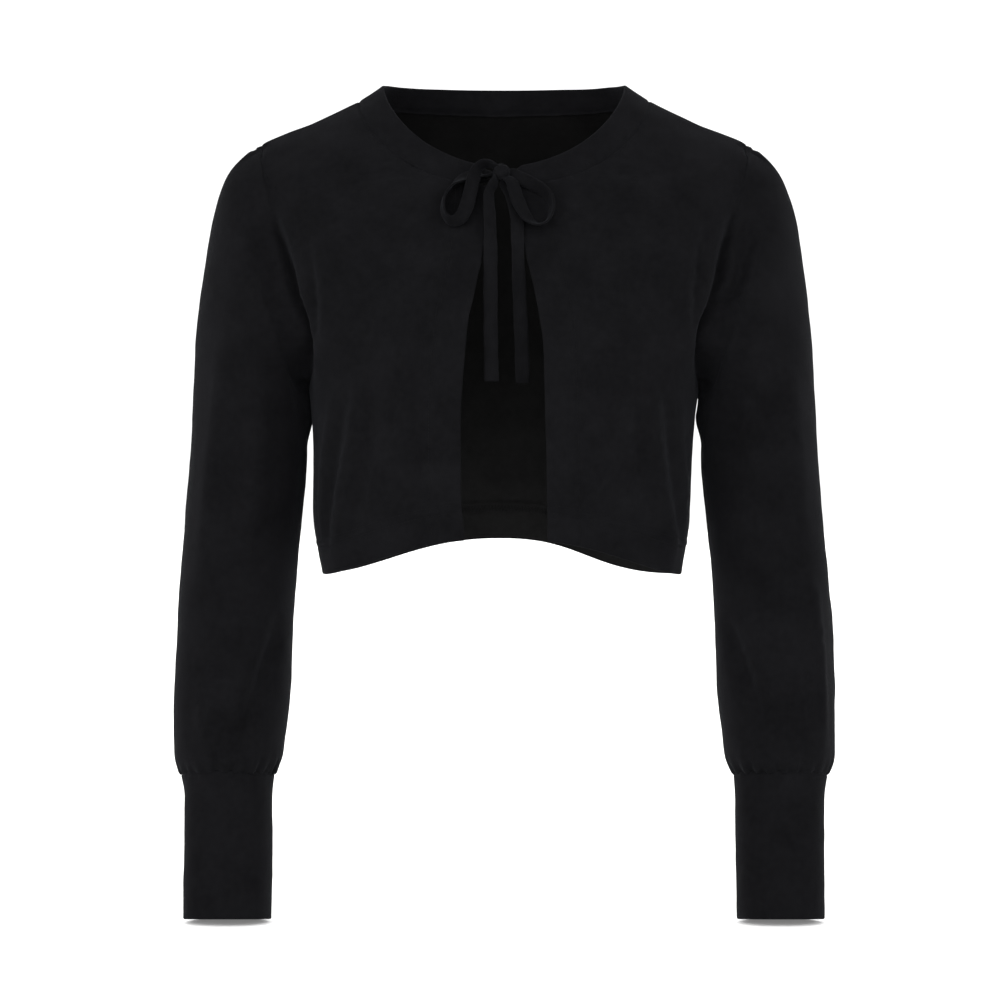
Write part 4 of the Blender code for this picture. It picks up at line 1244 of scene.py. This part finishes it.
def stitches(starts, ends, ways):
    """(vertices, faces) of one short piece of thread from each start to each end."""
    t = np.array([0.0, 0.22, 0.5, 0.78, 1.0])[None, :, None]
    middle = starts[:, None] * (1 - t) + ends[:, None] * t
    middle = middle + ways[:, None] * (THREAD * np.array([-0.9, 0.35, 0.7, 0.35, -0.9]))[None, :, None]
    ahead = unit(ends - starts)
    across = unit(np.cross(ahead, ways))
    up = np.cross(across, ahead)
    turns = np.linspace(0, 2 * math.pi, 7)[:-1]
    size = THREAD * np.array([0.5, 0.95, 1.0, 0.95, 0.5])
    around = across[:, None] * np.cos(turns)[None, :, None] + up[:, None] * np.sin(turns)[None, :, None]
    vertices = middle[:, :, None] + around[:, None] * size[None, :, None, None]
    one = np.arange(30).reshape(5, 6)
    turned = np.roll(one, -1, axis=1)
    quads = np.stack([one[:-1], one[1:], turned[1:], turned[:-1]], axis=-1).reshape(-1, 4)
    faces = (quads[None] + 30 * np.arange(len(starts))[:, None, None]).reshape(-1, 4)
    return vertices.reshape(-1, 3), faces


def sew(name, parts):
    """One piece from several (vertices, faces)."""
    vertices, faces, count = [], [], 0
    for some, quads in parts:
        vertices.append(some)
        faces.append(quads + count)
        count += len(some)
    return new_piece(name, np.concatenate(vertices), np.concatenate(faces).tolist(), [thread])


def straight_row(name, edge, distance):
    line, ways = row_on(name, edge, distance, 0)
    starts = np.arange(ROW_END, gone(line)[-1] - STITCH - ROW_END, PITCH)
    return stitches(along_line(line, starts), along_line(line, starts + STITCH),
                    unit(read_off(starts, gone(line), ways)))


def zigzag_row(name):
    (low, ways), (high, _) = (row_on(name, "bottom", distance, 1) for distance in STITCH_ROWS)
    places = np.arange(ROW_END, gone(low)[-1] - 0.004, PITCH / 2)
    even = (np.arange(len(places)) % 2 == 0)[:, None]
    corners = np.where(even, along_line(low, places), along_line(high, places))
    return stitches(corners[:-1], corners[1:], unit(read_off(places, gone(low), ways))[:-1])


for name in TURNED:
    rows = [straight_row(name, "bottom", distance) for distance in STITCH_ROWS] + [zigzag_row(name)]
    if name != "back":
        rows.append(straight_row(name, "end", FACING_ROW))
    sew(name + "_stitches", rows)
    print(name, "has", sum(len(faces) for _, faces in rows) // 24, "stitches")

# %% [markdown]
# ## What was cut
#
# Each piece is measured as the flat cloth that shows of it, on the form before the folds were laid.
# A front or back is as wide as it is under the arms and as long as from the neck's corner straight
# down to the hem, and a sleeve as wide as it is round, well below its head. Turned-in layers and the
# inner half of a doubled cuff or band don't count.

BELOW_THE_HEAD = 0.200


def cut_of(name):
    """(width, length, area) in metres."""
    points = grids[name]
    widths, lengths = gone(points)[:, -1], gone(points.transpose(1, 0, 2))[:, -1]
    if name in TURNED:
        widths = widths[points[:, 0, 2] < ARMHOLE_BOTTOM]
        corner = points[-1, 0, 0]
        order = slice(None, None, 1 if points[0, -1, 0] > points[0, 0, 0] else -1)
        lengths = gone(np.array([read_off(corner, row[order, 0], row[order]) for row in points]))[-1:]
    if name.startswith("sleeve"):
        up = gone(points[:, points.shape[1] // 2])
        widths = widths[up < up[-1] - BELOW_THE_HEAD]
    across, along = points[:-1, 1:] - points[:-1, :-1], points[1:, :-1] - points[:-1, :-1]
    return widths.max(), lengths.max(), np.linalg.norm(np.cross(across, along), axis=-1).sum()


for name, piece in pieces.items():
    width, length, area = (round(float(v), 4) for v in cut_of(name))
    print(f"{name}: {width * 1000:.0f} by {length * 1000:.0f} mm, {area * 10000:.0f} square centimetres")

# %% [markdown]
# ## The ties
#
# Each tie is a narrow folded strip that runs on from the neckband's end, through the knot, round one loop
# of the bow, back through the knot and down. Its route is given point by point, as a distance
# in front of the garment, so it can't sink into the fronts. A strip is wide and thin, so each row also
# says how far it is turned: 0 lies flat, and 90 stands on edge. Its long edges are a little thicker than
# its middle, because that is where it is folded and stitched.

# %% The ties' routes
Tie = namedtuple("Tie", "x z ahead turn")       # millimetres and degrees
TIES = {
    "right": in_metres([
        # the neckband's end and the knot
        Tie(-14.5, -76.2, -0.6, 0), Tie(-8, -75.7, 0.8, 30), Tie(-2.5, -74, 3, 60),
        # the loop
        Tie(-6.6, -70, 8, 80), Tie(-12, -67.6, 8.4, 82), Tie(-17.2, -69, 8.8, 74),
        Tie(-21.2, -74.2, 8.8, 44), Tie(-23.7, -82, 8.4, 10), Tie(-26, -93, 8.2, 8),
        Tie(-29.2, -104, 8, 16), Tie(-33.5, -111, 7.8, 42), Tie(-39, -113, 7.6, 64),
        Tie(-44, -109.5, 7.4, 74), Tie(-46.4, -101.5, 7.4, 72), Tie(-45.2, -93.5, 7.3, 72),
        Tie(-40.5, -86.2, 6.8, 66), Tie(-34, -80.6, 6, 38), Tie(-27, -77.2, 4, 18),
        Tie(-19, -76.8, 3.6, 40), Tie(-12.5, -76.6, 3.4, 66), Tie(-8.3, -76.4, 3.4, 78),
        # the tail
        Tie(-6.3, -80.3, 7.2, 66), Tie(-9.4, -86.2, 8, 66), Tie(-11.4, -93.5, 7.2, 46),
        Tie(-11.1, -102, 5.6, 40), Tie(-10.6, -112, 5.2, 36), Tie(-10.3, -124, 4.8, 28),
        Tie(-10.1, -135, 3.6, 18), Tie(-10.1, -148, -2, 8), Tie(-10.1, -165, -8.5, 0),
        Tie(-10, -185, -14, 0), Tie(-9.7, -210, -18, 2), Tie(-9.2, -235, -20, 4),
    ], but="turn"),
    "left": in_metres([
        # the neckband's end and the knot
        Tie(10, -75.7, -0.8, 0), Tie(5, -75.7, 0.6, 0), Tie(0.5, -76.8, 3.6, 20),
        # the loop
        Tie(5.6, -82.2, 9, 12), Tie(7.2, -86.2, 8.6, 10), Tie(9.2, -93, 8, 10), Tie(12.6, -102, 7.8, 13),
        Tie(16.5, -109, 7.8, 25), Tie(21.5, -113.8, 7.6, 45), Tie(27, -115.3, 7.4, 60),
        Tie(32.2, -113, 7.4, 70), Tie(35.4, -107, 7.4, 72), Tie(36.2, -100, 7.4, 72),
        Tie(33.8, -93.3, 7.2, 70), Tie(28.5, -88, 6.6, 64), Tie(21.5, -83.8, 6, 42),
        Tie(15, -80.2, 4.4, 18), Tie(10, -77.2, 3.6, 8), Tie(6.2, -75, 3.2, 6),
        # the tail
        Tie(0.6, -81.8, 3, 10), Tie(3.6, -88, 3.2, 4), Tie(7.6, -98, 3.2, 2), Tie(9.6, -108, 3.6, 8),
        Tie(10.1, -120, 4.2, 20), Tie(10.3, -133, 4, 30), Tie(10.7, -146, -1, 24),
        Tie(11.4, -162, -8, 14), Tie(12.3, -183, -14, 8), Tie(13.3, -210, -18.5, 2),
        Tie(14, -236.5, -20.5, 0),
    ], but="turn"),
}
KNOT, = in_metres([Tie(-2, -74.8, 5.8, 0)], but="turn")
TIE_THICKNESS = 0.0021
PINCH_FROM, PINCH_OVER = 0.0055, 0.012          # from the knot's middle, where a tie widens again


def garment_front(x, z):
    """The y of the garment's front face at a place, also across the gap between the fronts."""
    seam = body_points(NECK, angle_at(NECK, x), 1, "front")
    if z > seam[2]:
        top = band_top(math.acos(abs(x) / BAND_HALF_WIDTH), 1, "front")
        return seam[1] + (top[1] - seam[1]) * (z - seam[2]) / (top[2] - seam[2])
    low, high = HEM, NECK
    while high - low > 1e-5:
        side_z = (low + high) / 2
        point = body_points(side_z, angle_at(side_z, x), 1, "front")
        low, high = (side_z, high) if point[2] < z else (low, side_z)
    return point[1]


def garment_facing(x, z):
    near = 0.002
    here = garment_front(x, z)
    return unit(np.array([garment_front(x + near, z) - here, -near, garment_front(x, z + near) - here]))


def tie_place(row):
    return np.array([row.x, garment_front(row.x, row.z) - row.ahead, row.z])


def tie_width(points):
    """A tie's width, which is pinched where it runs into the knot."""
    away = np.linalg.norm(points - tie_place(KNOT), axis=-1)
    return TIE_WIDTH * (0.6 + 0.4 * np.sin(np.clip((away - PINCH_FROM) / PINCH_OVER, 0, 1) * CENTRE))


def strip_profile():
    """Round a folded strip, seen on its cut end: x is across its width and y its thickness."""
    turns = np.linspace(0, 2 * math.pi, 25)[:-1]
    x, y = signed_power(np.cos(turns), 0.55), signed_power(np.sin(turns), 0.75)
    return x, y * (0.72 + 0.42 * np.abs(x) ** 3)


def tie(name, route, spacing=0.0012):
    """(piece, centre line) of one tie."""
    places = np.array([tie_place(row) for row in route])
    facings = np.array([garment_facing(row.x, row.z) for row in route])
    at = gone(places)
    close = np.arange(0, at[-1], spacing)
    middle = spline(at, places, close)
    facing = unit(spline(at, facings, close))
    turn = np.radians(smooth(at, column(route, "turn"), close))[:, None]
    ahead = unit(np.gradient(middle, axis=0))
    flat = unit(np.cross(ahead, facing))
    across = flat * np.cos(turn) + np.cross(flat, ahead) * np.sin(turn)
    through = np.cross(across, ahead)
    width = tie_width(middle)
    ripple = 1 + 0.03 * np.sin(close * 2 * math.pi / 0.031) + 0.02 * np.sin(close * 2 * math.pi / 0.0127)
    x, y = strip_profile()
    end = np.clip(np.minimum(close - close[0], close[-1] - close) / 0.0009, 0.25, 1)
    rings = (middle[:, None] + across[:, None] * (x * (width * ripple)[:, None] / 2)[..., None]
             + through[:, None] * (y * (TIE_THICKNESS / 2 * end)[:, None])[..., None])
    return tie_mesh(name, rings, close), middle


def ring_quads(rows, columns):
    """(vertex numbers, quads) of rows of points that each close on themselves."""
    ids = np.arange(rows * columns).reshape(rows, columns)
    turned = np.roll(ids, -1, axis=1)
    return ids, np.stack([ids[:-1], turned[:-1], turned[1:], ids[1:]], axis=-1).reshape(-1, 4)


def tie_mesh(name, rings, close):
    ids, quads = ring_quads(*rings.shape[:2])
    faces = quads.tolist() + [ids[0, ::-1].tolist(), ids[-1].tolist()]
    vertices = rings.reshape(-1, 3)
    if looks_away(vertices, quads[0], vertices[0] - rings[0].mean(axis=0)):
        faces = [face[::-1] for face in faces]
    round_it = np.linspace(0, 2 * TIE_WIDTH, rings.shape[1])
    uv = np.stack(np.broadcast_arrays(round_it, close[:, None]), axis=-1).reshape(-1, 2)
    return new_piece(name, vertices, faces, [doubled], uv)


# %% The knot
KNOT_SIZE = (0.0066, 0.0056, 0.0068)            # half its width, depth and height
KNOT_LEAN = math.radians(-24)


def knot(rows=24, columns=32):
    """The wrapped crossing of the two ties."""
    low, turns = np.meshgrid(np.linspace(-CENTRE, CENTRE, rows), np.linspace(0, 2 * math.pi, columns + 1),
                             indexing="ij")
    crease = 1 - 0.10 * np.cos(3 * turns + 2.2 * low) ** 8 - 0.06 * np.cos(2 * turns - 3 * low + 1) ** 6
    x = np.cos(low) ** 0.7 * np.cos(turns) * KNOT_SIZE[0] * crease
    y = np.cos(low) ** 0.7 * np.sin(turns) * KNOT_SIZE[1] * crease
    z = np.sin(low) * KNOT_SIZE[2] * crease
    cos, sin = math.cos(KNOT_LEAN), math.sin(KNOT_LEAN)
    shape = np.stack([x * cos - z * sin, y, x * sin + z * cos], axis=-1) + tie_place(KNOT)
    uv = np.stack(np.meshgrid(np.linspace(0, 0.024, columns), np.linspace(0, 0.016, rows)), axis=-1)
    return new_piece("tie_knot_wrap", shape[:, :-1].reshape(-1, 3), ring_quads(rows, columns)[1].tolist(),
                     [doubled], uv.reshape(-1, 2))


knot_piece = knot()
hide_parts("tie_knot")
print("knot made")

# %% Make the ties
for word, route in TIES.items():
    piece, line = tie("tie_" + word + "_strip", route)
    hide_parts("tie_loop_" + word, "tie_tail_" + word)
    length = float(gone(line)[-1])
    print("tie", word, "is", round(length * 1000), "mm long")

# %% [markdown]
# ## The studio
#
# A white room, so white that floor and air run into each other. A wide soft light stands on each side of
# the camera, with weaker ones above it and behind the garment. All are painted into the air as bright
# patches, so that they light the whole floor alike. The ceiling is dimmer, because light from above would
# fill the hollow of the garment. The floor is only a disc: a wall would stand in the way of other views.

# %% Floor, light and air
FLOOR_Z, FLOOR_RADIUS = -0.6490, 40
AIR, CEILING = 0.99, 0.35
LIGHTS = [               # (way, strength, tightness)
    ((-0.88, -0.76, 0.34), 4.5, 9),
    ((0.88, -0.76, 0.34), 3.8, 9),
    ((-0.10, -1.00, 0.45), 2.8, 12),
    ((-0.80, 0.85, 0.55), 2.4, 9),
    ((0.80, 0.85, 0.55), 2.1, 9),
    ((0.10, 1.00, 1.20), 1.6, 12),
]

floor_mesh = bpy.data.meshes.new("floor")
ring = [(FLOOR_RADIUS * math.cos(t), FLOOR_RADIUS * math.sin(t), FLOOR_Z)
        for t in np.linspace(0, 2 * math.pi, 97)[:-1]]
floor_mesh.from_pydata(ring, [], [list(range(len(ring)))])
floor = bpy.data.objects.new("floor", floor_mesh)
bpy.context.scene.collection.objects.link(floor)
white = bpy.data.materials.new("white floor")
white.use_nodes = True
set_inputs(white.node_tree.nodes["Principled BSDF"],
           {"Base Color": (0.97, 0.97, 0.97, 1), "Roughness": 1.0, "Specular IOR Level": 0.0,
            "Emission Color": (1, 1, 1, 1), "Emission Strength": 0.16})
floor_mesh.materials.append(white)

world = bpy.data.worlds.new("white air")
bpy.context.scene.world = world
world.use_nodes = True
tree = world.node_tree
looking = tree.nodes.new("ShaderNodeTexCoord").outputs["Generated"]


def bright_patch(way, strength, tightness):
    """Light from one side, brightest where a ray looks that way."""
    along = tree.nodes.new("ShaderNodeVectorMath")
    along.operation = "DOT_PRODUCT"
    tree.links.new(looking, along.inputs[0])
    along.inputs[1].default_value = Vector(way).normalized()
    facing = calculate(tree, "POWER", calculate(tree, "MAXIMUM", along.outputs["Value"], 0.0), tightness)
    return calculate(tree, "MULTIPLY", facing, strength)


total = between(tree, split(tree, looking)[2], AIR, CEILING, 0.22, 0.60)
for way, strength, tightness in LIGHTS:
    total = calculate(tree, "ADD", total, bright_patch(way, strength, tightness))
background = tree.nodes["Background"]
background.inputs["Color"].default_value = (1, 1, 1, 1)
tree.links.new(total, background.inputs["Strength"])
bpy.context.scene.view_settings.view_transform = "Standard"
print("floor at", FLOOR_Z, "m")
